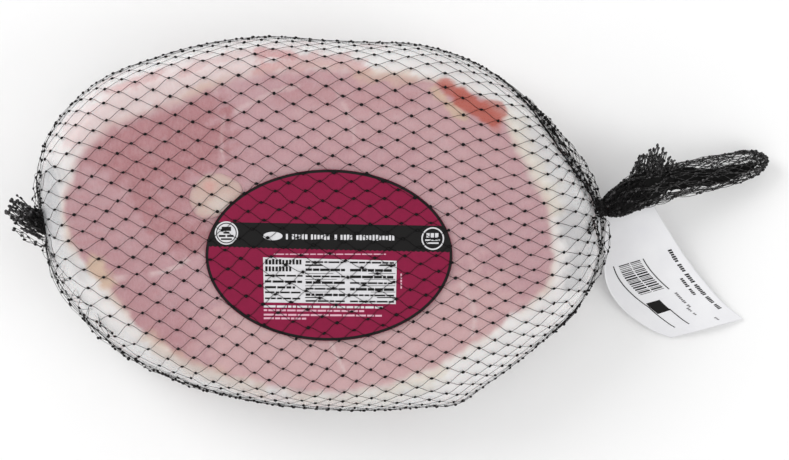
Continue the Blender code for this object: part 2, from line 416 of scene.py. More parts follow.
LEAN_OUTLINE = (  # where the lean ends, as pixels, clockwise from the left end
    (67, 220), (68, 197), (74, 176), (82, 158), (97, 140), (117, 126), (146, 115), (170, 106),
    (192, 96), (212, 88), (236, 81), (268, 75), (300, 69), (334, 68), (360, 75), (410, 79),
    (444, 84), (478, 98), (505, 124), (516, 152), (527, 170), (538, 192), (547, 214), (552, 236),
    (553, 256), (549, 277), (536, 296), (514, 314), (490, 330), (468, 346), (448, 360),
    (410, 375), (370, 387), (330, 394), (288, 390), (250, 379), (222, 374), (190, 362),
    (166, 346), (139, 324), (121, 301), (109, 284), (95, 270), (81, 256), (71, 240),
)
EDGE_SOFTNESS = 1.6  # mm on each side of the line where the lean turns to fat
SOFTER_EDGES = (  # turn and spread in degrees, and how much softer in mm
    (143, 24, 4.6), (92, 26, 2.2), (268, 30, 1.8), (17, 14, 1.6),
)
DEEP_LEAN = (  # pixels, half width, softness, strength
    (((106, 152), (134, 136), (170, 122), (206, 108)), 5.0, 10.0, 0.75),
    (((132, 158), (160, 158), (204, 140)), 8.0, 12.0, 0.85),
    (((134, 168), (144, 192), (158, 214), (182, 234), (206, 240)), 3.5, 9.0, 0.8),
    (((168, 180), (184, 206)), 5.0, 10.0, 0.55),
    (((284, 94), (332, 94)), 1.5, 7.0, 0.35),
    (((80, 196), (86, 226), (104, 258), (134, 296), (170, 334)), 6.0, 12.0, 0.35),
    (((356, 102), (408, 102)), 1.5, 7.0, 0.3),
    (((104, 200), (118, 226), (138, 252)), 7.0, 12.0, 0.3),
    (((225, 111), (227, 114)), 1.0, 2.4, 1.0),
)
CURED_RED = (
    (((460, 97), (470, 105), (484, 114), (493, 118)), 3.3, 2.0, 0.95),
    (((484, 109), (492, 111), (498, 112)), 3.3, 2.0, 0.9),
    (((444, 85), (451, 91), (460, 99)), 2.0, 2.4, 0.85),
    (((494, 124), (497, 131)), 0.8, 2.4, 0.4),
)
PALE_FAT = (
    (((436, 92), (443, 101), (453, 110), (465, 119)), 1.1, 2.2, 0.95),
    (((97, 262), (102, 271), (108, 280)), 2.2, 3.6, 1.0),
    (((150, 338), (190, 366), (232, 380), (262, 392)), 1.6, 4.5, 0.55),
    (((362, 76), (388, 78), (414, 80)), 1.2, 3.6, 0.55),
)
IVORY_FAT = (
    (((507, 118), (516, 142), (530, 166), (542, 188), (549, 206)), 2.2, 7.5, 0.55),
    (((300, 400), (350, 400), (400, 390), (440, 374)), 1.5, 5.0, 0.5),
)
BLUSH = (
    (((112, 93), (132, 86), (152, 79), (160, 74)), 0.9, 3.0, 0.7),
    (((184, 74), (205, 64), (232, 56), (262, 54)), 0.9, 3.4, 0.55),
    (((258, 53), (272, 54), (284, 56), (294, 57)), 1.5, 2.0, 1.0),
    (((262, 70), (296, 63), (334, 62), (362, 71)), 1.6, 4.6, 0.75),
    (((150, 100), (176, 92), (200, 84), (230, 76)), 2.0, 6.0, 0.35),
    (((96, 120), (110, 108), (130, 100)), 1.5, 5.0, 0.25),
    (((84, 132), (130, 103), (170, 88), (220, 74), (290, 64)), 6.0, 9.0, 0.34),
    (((250, 398), (300, 404), (350, 404)), 1.5, 5.0, 0.3),
)
# Grey patches on the fat beside the right end and along the left end: painted shade of the film on
# the fat.
PAINTED_FAT_SHADE = (
    (((574, 222), (584, 238), (590, 254), (582, 274)), 5.0, 8.0, 0.85),
    (((534, 138), (556, 176), (570, 206)), 4.0, 8.0, 0.4),
    (((54, 178), (50, 200), (54, 226)), 2.6, 7.0, 1.0),
    (((60, 236), (72, 258), (84, 272)), 1.5, 5.0, 0.45),
)
PALE_LEAN = (
    (((250, 345), (330, 365), (410, 355), (470, 315)), 12.0, 22.0, 0.9),
    (((330, 110), (420, 120), (480, 160)), 5.0, 22.0, 0.4),
)
WHITE_LINES = (
    (((226, 116), (223, 138), (225, 163)), 0.2, 0.9, 0.32),
    (((222, 150), (223, 152)), 0.4, 0.8, 0.8),
    (((238, 113), (254, 104), (276, 92), (300, 88)), 0.3, 1.6, 0.4),
    (((336, 92), (350, 118), (354, 142)), 0.2, 1.3, 0.35),
    (((331, 340), (338, 356), (347, 374)), 0.25, 1.1, 0.6),
    (((154, 274), (172, 269), (190, 260)), 0.4, 1.3, 0.6),
    (((118, 279), (128, 276)), 0.3, 1.1, 0.5),
    (((461, 284), (473, 308), (472, 334)), 0.25, 1.4, 0.4),
)
SEAMS = (
    (((126, 162), (138, 190), (152, 216), (176, 242), (196, 250)), 0.3, 1.6, 0.55),
    (((222, 98), (230, 128), (228, 166)), 0.4, 1.4, 0.45),
    (((240, 360), (300, 345), (360, 372), (420, 350)), 0.3, 1.3, 0.25),
    (((470, 150), (500, 200), (490, 260), (455, 320)), 0.3, 1.5, 0.25),
)


def lean_reach(angle):
    """Distance from the middle to where the lean ends, read off the outline at each angle."""
    x, y = np.array([from_pixel(*pixel) for pixel in LEAN_OUTLINE]).T
    return np.interp(np.degrees(angle) % 360, np.degrees(np.arctan2(y, x)) % 360, np.hypot(x, y),
                     period=360)


def meat():
    """The lean and fat as one closed skin with its zones."""
    shares = np.concatenate((np.linspace(0.008, 0.30, 62, endpoint=False),
                             np.linspace(0.30, 0.56, 74, endpoint=False),
                             np.linspace(0.56, 0.985, 34)))
    points, faces = skin_mesh(MEAT_AROUND, shares, -MEAT_INSET)
    x, y, z = points.T
    angle = np.arctan2(y, x)
    inset = plan(angle) - np.hypot(x, y)
    past = np.hypot(x, y) - lean_reach(angle) + 0.9 * wander(x, y, 16.0, 3)
    past += 0.5 * wander(x, y, 5.0, 4)
    turn = np.degrees(angle) % 360
    soft = EDGE_SOFTNESS + sum(more * np.exp(-(((turn - middle) / spread) ** 2))
                               for middle, spread, more in SOFTER_EDGES)
    above = z > BELLY_HEIGHT
    fat = np.where(above, ramp(past, -soft, soft), 1.0)
    below_face = (z < 2.5) & (inset > BASE_INSET)
    fat = np.where(below_face, ramp(past, -1.5, 1.5), fat)
    cream = np.exp(-((past - 0.8) / 2.2) ** 2) * (0.24 + 0.22 * wander(x, y, 40.0, 8))
    fade = ramp(z, BELLY_HEIGHT + 2, BELLY_HEIGHT + 20)

    def on_face(smears, elsewhere=0.0):
        """The smears on the upper face, and one plain value down the side and below."""
        return strongest(x, y, smears) * fade + elsewhere * (1 - fade)

    zones = {
        "fat": fat,
        "cream": np.maximum(cream, on_face(PALE_FAT)),
        "deep": on_face(DEEP_LEAN, 0.2 + 0.3 * wander(x, y, 30.0, 9)),
        "ivory": on_face(IVORY_FAT) * fat,
        "red": on_face(CURED_RED),
        "blush": on_face(BLUSH, 0.45 * ramp(wander(x, y + z, 30.0, 7), 0.4, 0.9)),
        # painted shade on the fat, stored as a zone
        "painted_shade": on_face(PAINTED_FAT_SHADE),
        "pale": on_face(PALE_LEAN),
        "white_line": on_face(WHITE_LINES),
        "seam": on_face(SEAMS),
    }
    relief = 0.22 * wander(x, y, 24.0, 10) * (1 - fat) - 0.35 * zones["seam"] + 0.2 * zones["red"]
    points = points + outward(points) * np.minimum(relief, 0.3)[:, None]
    points[:, 2] = np.maximum(points[:, 2], MEAT_INSET)
    piece = make_piece("ham_meat", points, faces, meat_material(), "meat")
    for name, values in zones.items():
        give_values(piece, name, np.clip(values, 0, 1))
    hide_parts("netted_pack")


# %% [markdown]
# ## Material helpers
#
# Materials are small node trees. `Recipe` keeps them short: it adds a node, sets its plain values
# by name and links sockets by name, so a finish reads as a list of steps.

# %% A short way to write node trees
class Recipe:
    """A material's node tree, with one method for each common step."""

    def __init__(self, name):
        self.material = bpy.data.materials.new(name)
        self.material.use_nodes = True
        self.tree = self.material.node_tree
        self.shader = self.tree.nodes["Principled BSDF"]
        self.place = self.add("ShaderNodeTexCoord").outputs["Object"]

    def add(self, kind, **settings):
        """A new node with its settings."""
        node = self.tree.nodes.new(kind)
        for key, value in settings.items():
            setattr(node, key, value)
        return node

    def plug(self, source, node, socket):
        """Join a socket to source, or set it where source is a plain number or colour."""
        if hasattr(source, "is_output"):
            self.tree.links.new(source, node.inputs[socket])
        else:
            node.inputs[socket].default_value = source

    def surface(self, **values):
        """Plain numbers on the shader's own sockets."""
        for key, value in values.items():
            self.shader.inputs[key.replace("_", " ")].default_value = value

    def value(self, attribute):
        """A number stored on the mesh by give_values."""
        return self.add("ShaderNodeAttribute", attribute_name=attribute).outputs["Fac"]

    def noise(self, scale, detail=3.0, roughness=0.55, stretch=(1, 1, 1)):
        """Noise with features about 1 / scale metres across, drawn out by stretch."""
        mapping = self.add("ShaderNodeMapping")
        mapping.inputs["Scale"].default_value = stretch
        self.tree.links.new(self.place, mapping.inputs["Vector"])
        texture = self.add("ShaderNodeTexNoise")
        self.tree.links.new(mapping.outputs["Vector"], texture.inputs["Vector"])
        texture.inputs["Scale"].default_value = scale
        texture.inputs["Detail"].default_value = detail
        texture.inputs["Roughness"].default_value = roughness
        return texture.outputs["Fac"]

    def math(self, operation, a, b=0.0, clamp=False):
        """One step of arithmetic, held to 0 to 1 where clamp is set."""
        node = self.add("ShaderNodeMath", operation=operation, use_clamp=clamp)
        self.plug(a, node, 0)
        self.plug(b, node, 1)
        return node.outputs[0]

    def times(self, a, b):
        """a times b."""
        return self.math("MULTIPLY", a, b)

    def span(self, value, low, high, out_low=0.0, out_high=1.0):
        """value from low to high turned into out_low to out_high, held at both ends."""
        node = self.add("ShaderNodeMapRange")
        self.plug(value, node, "Value")
        node.inputs["From Min"].default_value = low
        node.inputs["From Max"].default_value = high
        node.inputs["To Min"].default_value = out_low
        node.inputs["To Max"].default_value = out_high
        return node.outputs["Result"]

    def mix(self, share, a, b):
        """Colour a turned into colour b by share."""
        node = self.add("ShaderNodeMix", data_type="RGBA", blend_type="MIX")
        self.plug(share, node, 0)
        for colour, socket in ((a, 6), (b, 7)):
            self.plug(colour, node, socket)
        return node.outputs[2]

    def bump(self, height, distance, strength):
        """Fine relief in the shading, distance metres deep."""
        node = self.add("ShaderNodeBump")
        node.inputs["Distance"].default_value = distance
        node.inputs["Strength"].default_value = strength
        self.tree.links.new(height, node.inputs["Height"])
        self.tree.links.new(node.outputs["Normal"], self.shader.inputs["Normal"])


def rgb(r, g, b):
    """A colour given as it looks on screen, 0 to 255, turned into linear light."""
    share = np.array((r, g, b)) / 255.0
    linear = np.where(share > 0.04045, ((share + 0.055) / 1.055) ** 2.4, share / 12.92)
    return (*linear.tolist(), 1.0)


# %% [markdown]
# ## Cured lean, cream fat and white fat
#
# Cured ham is a cool, greyish pink, far from the orange of fresh pork, and its fat is nearly
# white with a cream edge next to the lean. The lean gets a cloudy variation a few centimetres
# wide, a fine grain of fibres, and faint streaks along the cut. The fat is plainer and smoother.

# %% The meat's finish
def meat_material():
    """Lean and fat, mixed colour by colour with the zones stored on the mesh."""
    recipe = Recipe("cured_meat")
    clouds = recipe.noise(38.0, 4.0, 0.6)
    grain = recipe.noise(900.0, 2.0, 0.6, (1.0, 0.45, 1.0))
    lean = recipe.mix(recipe.span(clouds, 0.35, 0.68), rgb(187, 141, 147), rgb(194, 153, 158))
    lean = recipe.mix(recipe.value("pale"), lean, rgb(203, 164, 165))
    lean = recipe.mix(recipe.value("deep"), lean, rgb(170, 106, 111))
    lean = recipe.mix(recipe.span(grain, 0.38, 0.7, 0.0, 0.16), lean, rgb(218, 186, 187))
    lean = recipe.mix(recipe.times(recipe.value("seam"), 0.45), lean, rgb(158, 104, 108))
    fat = recipe.mix(recipe.span(clouds, 0.3, 0.7), rgb(226, 220, 218), rgb(236, 233, 232))
    # the grey mixed in here is painted shade, not the fat's own colour
    fat = recipe.mix(recipe.value("painted_shade"), fat, rgb(188, 186, 187))
    blush = recipe.times(recipe.value("blush"), recipe.span(grain, 0.2, 0.6, 0.75, 1.0))
    fat = recipe.mix(blush, fat, rgb(198, 128, 128))
    body = recipe.mix(recipe.value("fat"), lean, fat)
    body = recipe.mix(recipe.value("ivory"), body, rgb(221, 211, 194))
    body = recipe.mix(recipe.value("cream"), body, rgb(207, 178, 156))
    body = recipe.mix(recipe.value("red"), body, rgb(180, 76, 55))
    body = recipe.mix(recipe.value("white_line"), body, rgb(222, 202, 200))
    recipe.plug(body, recipe.shader, "Base Color")
    recipe.plug(recipe.span(clouds, 0.3, 0.7, 0.42, 0.58), recipe.shader, "Roughness")
    recipe.surface(Subsurface_Weight=0.12, Subsurface_Scale=0.004, Specular_IOR_Level=0.4)
    recipe.shader.inputs["Subsurface Radius"].default_value = (1.0, 0.45, 0.35)
    recipe.bump(grain, 0.0002, 0.5)
    return recipe.material


meat()

# %% [markdown]
# ## The bone
#
# A leg cut shows one round section of bone. It is a tube of hard bone with spongy marrow inside,
# and the saw passes through both, so it is made as a short post right through the steak: rings of
# points from the middle of the upper face, over the rim, down the side and back to the middle of
# the lower face. Only its two sawn faces show.

# %% The bone
BONE_PIXEL = (217, 196)
MARROW_PIXEL = (211, 187)
PALE_BONE_PIXEL = (222, 207)
BONE_RADII = (12.2, 11.4)
BONE_TURN = math.radians(28)
BONE_AROUND = 72
BONE_RISE = 0.5  # how far the sawn bone stands above the meat
BONE_LOW = MEAT_INSET - 0.25  # the height of its lower face
BONE_RINGS = (  # share of the radius, and height against the upper face
    (0.12, 0.0), (0.3, 0.0), (0.48, 0.0), (0.62, 0.02), (0.72, 0.0), (0.80, -0.02), (0.88, 0.0),
    (0.95, -0.05), (1.0, -0.3), (1.0, -30.0), (1.0, -66.9), (0.9, -66.9), (0.6, -66.9),
    (0.2, -66.9),
)


def bone():
    """A post whose section radius is the oval's times the share of each ring."""
    shares, tops = np.array(BONE_RINGS).T
    angle = np.linspace(0, 2 * math.pi, BONE_AROUND, endpoint=False)
    lobe = (1 + 0.07 * np.cos(2 * angle + 0.5) + 0.05 * np.cos(3 * angle + 2.0)
            + 0.02 * np.cos(5 * angle))
    s, a = np.meshgrid(shares, angle, indexing="ij")
    u, v = BONE_RADII[0] * s * lobe * np.cos(a), BONE_RADII[1] * s * lobe * np.sin(a)
    cx, cy = from_pixel(*BONE_PIXEL)
    x = cx + u * math.cos(BONE_TURN) - v * math.sin(BONE_TURN)
    y = cy + u * math.sin(BONE_TURN) + v * math.cos(BONE_TURN)
    z = np.maximum(face_height(x, y) - MEAT_INSET + BONE_RISE + tops[:, None], BONE_LOW)
    poles = [[cx, cy, z[0].mean()], [cx, cy, BONE_LOW]]
    points = np.concatenate((np.stack((x, y, z), -1).reshape(-1, 3), poles))
    piece = make_piece("ham_bone", points, capped(len(shares), BONE_AROUND, True),
                       bone_material(), "bone")
    give_values(piece, "reach", np.concatenate((np.repeat(shares, BONE_AROUND), (0, 0))))
    px, py = points[:, :2].T
    for name, pixel, near, far in (("marrow", MARROW_PIXEL, 0.8, 5.0),
                                   ("pale", PALE_BONE_PIXEL, 1.0, 8.5)):
        mx, my = from_pixel(*pixel)
        give_values(piece, name, 1 - ramp(np.hypot(px - mx, py - my), near, far))


def bone_material():
    """A hard pale wall round pinker marrow, with pores."""
    recipe = Recipe("sawn_bone")
    reach = recipe.value("reach")
    pores = recipe.noise(1400.0, 2.0, 0.6)
    clouds = recipe.noise(180.0, 3.0, 0.6)
    ragged = recipe.math("ADD", reach, recipe.span(clouds, 0.3, 0.7, -0.12, 0.12))
    wall = recipe.mix(recipe.span(clouds, 0.3, 0.7), rgb(196, 167, 157), rgb(206, 182, 172))
    wall = recipe.mix(recipe.value("pale"), wall, rgb(212, 197, 188))
    marrow = recipe.mix(recipe.span(pores, 0.35, 0.65), rgb(206, 150, 142), rgb(213, 163, 154))
    body = recipe.mix(recipe.times(recipe.value("marrow"), 0.75), wall, marrow)
    body = recipe.mix(recipe.span(ragged, 0.80, 1.06, 0.0, 0.9), body, rgb(188, 145, 148))
    recipe.plug(body, recipe.shader, "Base Color")
    recipe.surface(Roughness=0.6, Specular_IOR_Level=0.35, Subsurface_Weight=0.08,
                   Subsurface_Scale=0.003)
    recipe.bump(pores, 0.0002, 0.6)
    return recipe.material


bone()

# %% [markdown]
# ## The clear film
#
# The film touches the meat nearly everywhere, so it is a closed skin on the form itself, just
# outside the meat. Most of it is seen straight through. What shows is its shine: a faint veil on
# the face, a brighter one down the side, and small creases that run into the twisted ends. The
# creases are real height in the mesh near the ends, and a fine bump elsewhere. The grey in the
# creases is painted shade in the film's colour.

# %% The film
NECK_LEFT = np.array((-136.2, 1.6, 38.0))
NECK_RIGHT = np.array((139.0, 7.8, 33.0))
CREASE_HEIGHT = 0.55
CREASE_REACH = 26.0
FILM_CLEARANCE = 0.5  # the film rests on the net under it, and only the net touches the floor


def film_material():
    """Clear plastic with a haze towards the edges, and painted grey shade in the creases."""
    recipe = Recipe("clear_film")
    folds = recipe.noise(70.0, 5.0, 0.62)
    fine = recipe.noise(420.0, 2.0, 0.5)
    recipe.surface(Roughness=0.16, Specular_IOR_Level=0.5, IOR=1.45)
    # In the creases the colour turns grey and the haze grows: painted shade in the folds.
    recipe.plug(recipe.mix(recipe.value("crease"), (0.93, 0.94, 0.95, 1), (0.50, 0.51, 0.54, 1)),
                recipe.shader, "Base Color")
    clear = recipe.add("ShaderNodeBsdfTransparent")
    edge = recipe.add("ShaderNodeLayerWeight")
    edge.inputs["Blend"].default_value = 0.30
    veil = recipe.span(edge.outputs["Facing"], 0.0, 1.0, 0.045, 0.62)
    haze = recipe.math("ADD", veil, recipe.times(recipe.value("crease"), 0.38), True)
    haze = recipe.math("ADD", haze, recipe.span(folds, 0.56, 0.8, 0.0, 0.08), True)
    mixer = recipe.add("ShaderNodeMixShader")
    recipe.plug(haze, mixer, 0)
    recipe.tree.links.new(clear.outputs[0], mixer.inputs[1])
    recipe.tree.links.new(recipe.shader.outputs[0], mixer.inputs[2])
    output = recipe.tree.nodes["Material Output"]
    recipe.tree.links.new(mixer.outputs[0], output.inputs["Surface"])
    recipe.bump(recipe.math("ADD", folds, recipe.times(fine, 0.25)), 0.0016, 0.7)
    return recipe.material


def creases(points):
    """0 to 1: folds that run into each twisted end and fade with distance from it."""
    share = np.zeros(len(points))
    for neck, count, seed in ((NECK_LEFT, 19, 1), (NECK_RIGHT, 23, 2)):
        away = points - neck
        reach = np.linalg.norm(away, axis=1)
        turn = np.arctan2(away[:, 2], away[:, 1])
        wave = np.sin(count * turn + 1.5 * np.sin(3 * turn + seed)) ** 2
        share = np.maximum(share, wave * np.exp(-(reach / CREASE_REACH) ** 1.5))
    return share


def film():
    """The form's own skin with its creases as real height."""
    shares = np.concatenate((np.linspace(0.02, 0.30, 36, endpoint=False),
                             np.linspace(0.30, 0.60, 70, endpoint=False),
                             np.linspace(0.60, 0.98, 24)))
    points, faces = skin_mesh(360, shares, 0.0)
    crease = creases(points)
    points = points + outward(points) * (CREASE_HEIGHT * crease)[:, None]
    points[:, 2] = np.maximum(points[:, 2], FILM_CLEARANCE)
    piece = make_piece("clear_film", points, faces, film_material(), "film")
    give_values(piece, "crease", crease)


film()

# %% [markdown]
# ## Strands and knots
#
# Net is made of two things only. A strand is a thin tube along a smooth curve that leaves one knot
# and enters the next in given directions. A knot is a small bead, longer along the net than
# across it. Both are built for thousands of places at once: the curve formula works on all the
# strands together, and one little bead is copied, turned and sized by array arithmetic.

# %% Tubes and beads in bulk
STRAND_RADIUS = 0.12
LEVEL_WITH = (0.13, 0.21, 0.97)  # nearly up, and along no strand


def curves(starts, ends, leave, enter, hold, steps):
    """Bezier curves from starts to ends, with handles hold times the gap long."""
    gap = np.linalg.norm(ends - starts, axis=1, keepdims=True)
    first = starts + leave * gap * hold
    second = ends - enter * gap * hold
    t = np.linspace(0, 1, steps + 1)[None, :, None]
    a, b, c, d = (p[:, None] for p in (starts, first, second, ends))
    return a * (1 - t) ** 3 + 3 * b * t * (1 - t) ** 2 + 3 * c * t**2 * (1 - t) + d * t**3


def unit(vectors):
    """Vectors divided by their lengths."""
    return vectors / np.maximum(np.linalg.norm(vectors, axis=-1, keepdims=True), 1e-9)


def tubes(lines, radius, sides=5):
    """Closed tubes along lines of shape (count, points, 3): vertices and faces."""
    count, steps, _ = lines.shape
    heading = unit(np.gradient(lines, axis=1))
    level = unit(np.cross(heading, LEVEL_WITH))
    upright = np.cross(level, heading)
    turn = np.linspace(0, 2 * math.pi, sides, endpoint=False)[None, None, :, None]
    thick = np.asarray(radius, float).reshape(-1, 1, 1, 1)
    ring = lines[:, :, None] + thick * (np.cos(turn) * level[:, :, None]
                                        + np.sin(turn) * upright[:, :, None])
    each = steps * sides
    base = (np.arange(count) * each)[:, None, None]
    body = loop_grid(steps, sides)[None] + base
    side = np.arange(sides)[None, None]
    start = side[..., ::-1] + base
    end = side + base + (steps - 1) * sides
    return ring.reshape(-1, 3), [body.reshape(-1, 4), start.reshape(-1, sides),
                                 end.reshape(-1, sides)]


def beads(centres, along, up, size, sides=7, rings=4):
    """Ellipsoids of half sizes size = (along, across, up), one for each centre."""
    lat = np.linspace(-math.pi / 2, math.pi / 2, rings + 2)[1:-1]
    lon = np.linspace(0, 2 * math.pi, sides, endpoint=False)
    la, lo = np.meshgrid(lat, lon, indexing="ij")
    ball = np.stack((np.sin(la), np.cos(la) * np.cos(lo), np.cos(la) * np.sin(lo)), -1)
    ball = np.concatenate((ball.reshape(-1, 3), [[-1, 0, 0], [1, 0, 0]]))
    along = unit(along)
    across = unit(np.cross(up, along))
    third = np.cross(along, across)
    axes = np.stack((along, across, third), 1) * np.asarray(size, float).reshape(-1, 3)[:, :, None]
    points = centres[:, None] + np.einsum("vk,nkd->nvd", ball, axes)
    each = len(ball)
    base = (np.arange(len(centres)) * each)[:, None, None]
    return points.reshape(-1, 3), [(group[None] + base).reshape(-1, group.shape[1])
                                   for group in capped(rings, sides)]


def joined(parts):
    """Several (points, faces) as one, with the face numbers moved along."""
    points, faces, start = [], [], 0
    for spots, groups in parts:
        points.append(spots)
        faces += [group + start for group in groups]
        start += len(spots)
    return np.concatenate(points), faces


# %% [markdown]
# ## The net's own grid
#
# Flat, the net is a tube of diamonds: 60 knots round, with every other ring of knots set half a
# step on. On the pack the long way of the diamonds runs from end to end. Thirty-four rows cross
# the front and the rest the back, and the seam between them lies low on the side, out of sight,
# except beside the handle, where the net has ridden up and its slack makes a ridge. A knot's ring
# gives its place along the pack, and its number in the ring gives its place between the two seams.
# The rings are spaced so that the strands keep their length, and the rows keep nearly even steps
# across the face and crowd only where the pack narrows. Unrolling by tape length then puts each
# knot on the round form. Beside the two ends the net is slack, so its knots there are shaken out
# of their rows and stand off the film.

# %% Where the knots lie
RING_KNOTS = 60
FRONT_ROWS = 34
RINGS = 40
STRAND_LENGTH = 9.2
NET_LIFT = 0.35  # mm from the film to the middle of a tight strand
LEFT_END, RIGHT_END = 180, 3  # directions of the net's two ends, in degrees
BACK_CROWDING = (1.06, 9)  # how the rows behind close up towards the seams: ratio and power
EASE_SPOTS, EASE_WIDTH = 61, 13  # places along the pack, and how many are averaged at a time
LABEL_CENTRE = (4.6, -15.8)
LABEL_HALF = (58.8, 40.8)
# The seam's height over the widest line, in mm of tape, at directions in degrees.
SEAM_TURNS = (0, 6, 12, 20, 28, 36, 44, 52, 62, 80, 152, 160, 165, 172, 180, 188, 196, 210,
              325, 337, 344, 349, 354, 360)
SEAM_RISES = (6, 12, 17, 18, 14, 8, 0, -8, -15, -18, -17, -8, -2, 1, 0, -5, -11, -18,
              -18, -9, 1, 5, 8, 6)
LONG_PLACES = (-150, -90, -30, 30, 80, 120, 150)  # mm along the pack, for the tables below
UPPER_STEPS = (7.0, 6.0, 7.1, 6.6, 6.4, 7.0, 7.3)
LOWER_STEPS = (9.2, 9.0, 8.6, 6.4, 6.0, 6.2, 7.5)
UPPER_POWERS = (4.6, 2.5, 4.8, 5.6, 7.2, 5.0, 4.3)
LOWER_POWERS = (4.8, 6.8, 6.0, 8.0, 11.0, 9.0, 5.7)
UPPER_LEAN = (0.50, 0.41, 0.24, 0.08, -0.05, -0.22, -0.03)
LOWER_LEAN = (0.10, 0.21, 0.14, 0.12, 0.17, 0.26, 0.20)
RING_STRETCH = (1.10, 0.98, 0.97, 0.92, 0.95, 1.05, 0.97)
MIDDLE_LINE = (-5.0, -10.2, -4.7, -2.0, 0.0, -2.8, 9.0)

seam_angles = np.radians(np.arange(0, 361))
_, _, seam_tape, belly_tape = profiles(seam_angles)
front_reach = belly_tape - np.interp(np.arange(0, 361), SEAM_TURNS, SEAM_RISES)
back_reach = seam_tape[:, -1] - front_reach


def half_height(u, upper):
    """Distance from the net's long axis to the seam, at u along the unrolled front."""
    part = slice(0, 181) if upper else slice(180, 361)
    x = front_reach[part] * np.cos(seam_angles[part])
    y = np.abs(front_reach[part] * np.sin(seam_angles[part]))
    order = np.argsort(x)
    return np.interp(u, x[order], y[order])


def crowd(share, power):
    """Grows like share and levels off at 1, more sharply for a larger power."""
    return share / (1 + share**power) ** (1 / power)


def ease(u, places, values):
    """A smooth rise from value to value along u."""
    spots = np.linspace(places[0], places[-1], EASE_SPOTS)
    kernel = np.hanning(EASE_WIDTH)
    padded = np.pad(np.interp(spots, places, values), EASE_WIDTH // 2, mode="edge")
    return np.interp(u, spots, np.convolve(padded, kernel / kernel.sum(), mode="valid"))


def by_half(share, u, upper, lower):
    """At u, the eased upper values where share isn't negative, and the lower ones elsewhere."""
    return np.where(share >= 0, ease(u, LONG_PLACES, upper), ease(u, LONG_PLACES, lower))


def front_knots(share, column):
    """Unrolled place of knots: share -1 to 1 between the seams, column 0 to 1 end to end."""
    left, right = -front_reach[LEFT_END], front_reach[RIGHT_END]
    line = np.linspace(left, right, 400)
    room = (half_height(line, True) + half_height(line, False)) / FRONT_ROWS
    across = np.minimum(ease(line, LONG_PLACES, LOWER_STEPS), room)
    step = np.sqrt(STRAND_LENGTH**2 - (across / 2) ** 2) * ease(line, LONG_PLACES, RING_STRETCH)
    passed = np.concatenate(([0], np.cumsum(1 / step[:-1])))
    u = np.interp(column, passed / passed[-1], line)
    middle = ease(u, (left, -130, -60, 0, 60, 110, right), MIDDLE_LINE)
    reach = np.where(share >= 0, half_height(u, True) - middle, half_height(u, False) + middle)
    reach = np.maximum(reach, 0.5)
    power = by_half(share, u, UPPER_POWERS, LOWER_POWERS)
    ratio = by_half(share, u, UPPER_STEPS, LOWER_STEPS) * FRONT_ROWS / 2 / reach
    level = crowd(np.abs(share) * ratio, power) / crowd(ratio, power)
    v = middle + np.sign(share) * reach * level
    lean = by_half(share, u, UPPER_LEAN, LOWER_LEAN)
    return u - lean * v * (1 - 0.6 * level**2), v


def limit(reach, angle):
    """The tape length out to the seam at each angle."""
    return np.interp(np.degrees(angle) % 360, np.arange(361), reach)


def net_knots():
    """Knot places in mm, shape (RINGS + 1, RING_KNOTS, 3)."""
    ring, number = np.meshgrid(np.arange(RINGS + 1), np.arange(RING_KNOTS), indexing="ij")
    place = (number + 0.5 * (ring % 2)).ravel()
    column = (ring / RINGS).ravel()
    front = place <= FRONT_ROWS
    share = np.where(front, 2 * place / FRONT_ROWS - 1,
                     1 - 2 * (place - FRONT_ROWS) / (RING_KNOTS - FRONT_ROWS))
    u, v = front_knots(np.clip(share, -1, 1), column)
    angle = np.arctan2(v, u)
    length = np.minimum(np.hypot(u, v), limit(front_reach, angle))
    ends = []
    for side in (-1.0, 1.0):
        su, sv = front_knots(np.full(len(u), side), column)
        turn = np.arctan2(sv, su)
        reach = limit(back_reach, turn)
        ends.append((reach * np.cos(turn), reach * np.sin(turn)))
    (u0, v0), (u1, v1) = ends
    ratio, power = BACK_CROWDING
    level = np.sign(share) * crowd(np.abs(share) * ratio, power) / crowd(ratio, power)
    blend = (level + 1) / 2
    bu, bv = u0 + (u1 - u0) * blend, v0 + (v1 - v0) * blend
    angle = np.where(front, angle, np.arctan2(bv, bu))
    length = np.where(front, length, np.minimum(np.hypot(bu, bv), limit(back_reach, angle)))
    spots = unroll_point(length, angle, from_base=False)
    under = unroll_point(length, angle, from_base=True)
    return np.where(front[:, None], spots, under).reshape(RINGS + 1, RING_KNOTS, 3)


LABEL_STEP = 0.75  # mm that the label lifts the net
LABEL_MARGIN = 1.0  # mm past its edge where the net starts to come down
FACE_ABOVE = 60  # only net above this height can lie on the label
SLACK_TURNS = (0, 8, 14, 60, 150, 166, 180, 200, 232, 250, 325, 340, 352, 360)
SLACK_SHARES = (0.6, 0.3, 0.0, 0.0, 0.0, 0.8, 1.0, 1.0, 0.7, 0.0, 0.0, 0.5, 0.8, 0.6)
SHAKE_TIGHT, SHAKE_LOOSE = 0.28, 1.0  # mm
STAND_OFF = 2.4  # mm at most between the film and a loose knot


def over_label(points):
    """How far the label lifts the net that lies over it."""
    x = (points[:, 0] - LABEL_CENTRE[0]) / (LABEL_HALF[0] + LABEL_MARGIN)
    y = (points[:, 1] - LABEL_CENTRE[1]) / (LABEL_HALF[1] + LABEL_MARGIN)
    return LABEL_STEP * (1 - ramp(np.hypot(x, y), 1.0, 1.045)) * (points[:, 2] > FACE_ABOVE)


def slack(points):
    """0 where the net is tight, 1 where it hangs loose: on the side, near the two ends."""
    turn = np.degrees(np.arctan2(points[:, 1], points[:, 0])) % 360
    side = 1 - ramp(outward(points)[:, 2], 0.35, 0.8)
    return np.interp(turn, SLACK_TURNS, SLACK_SHARES) * side


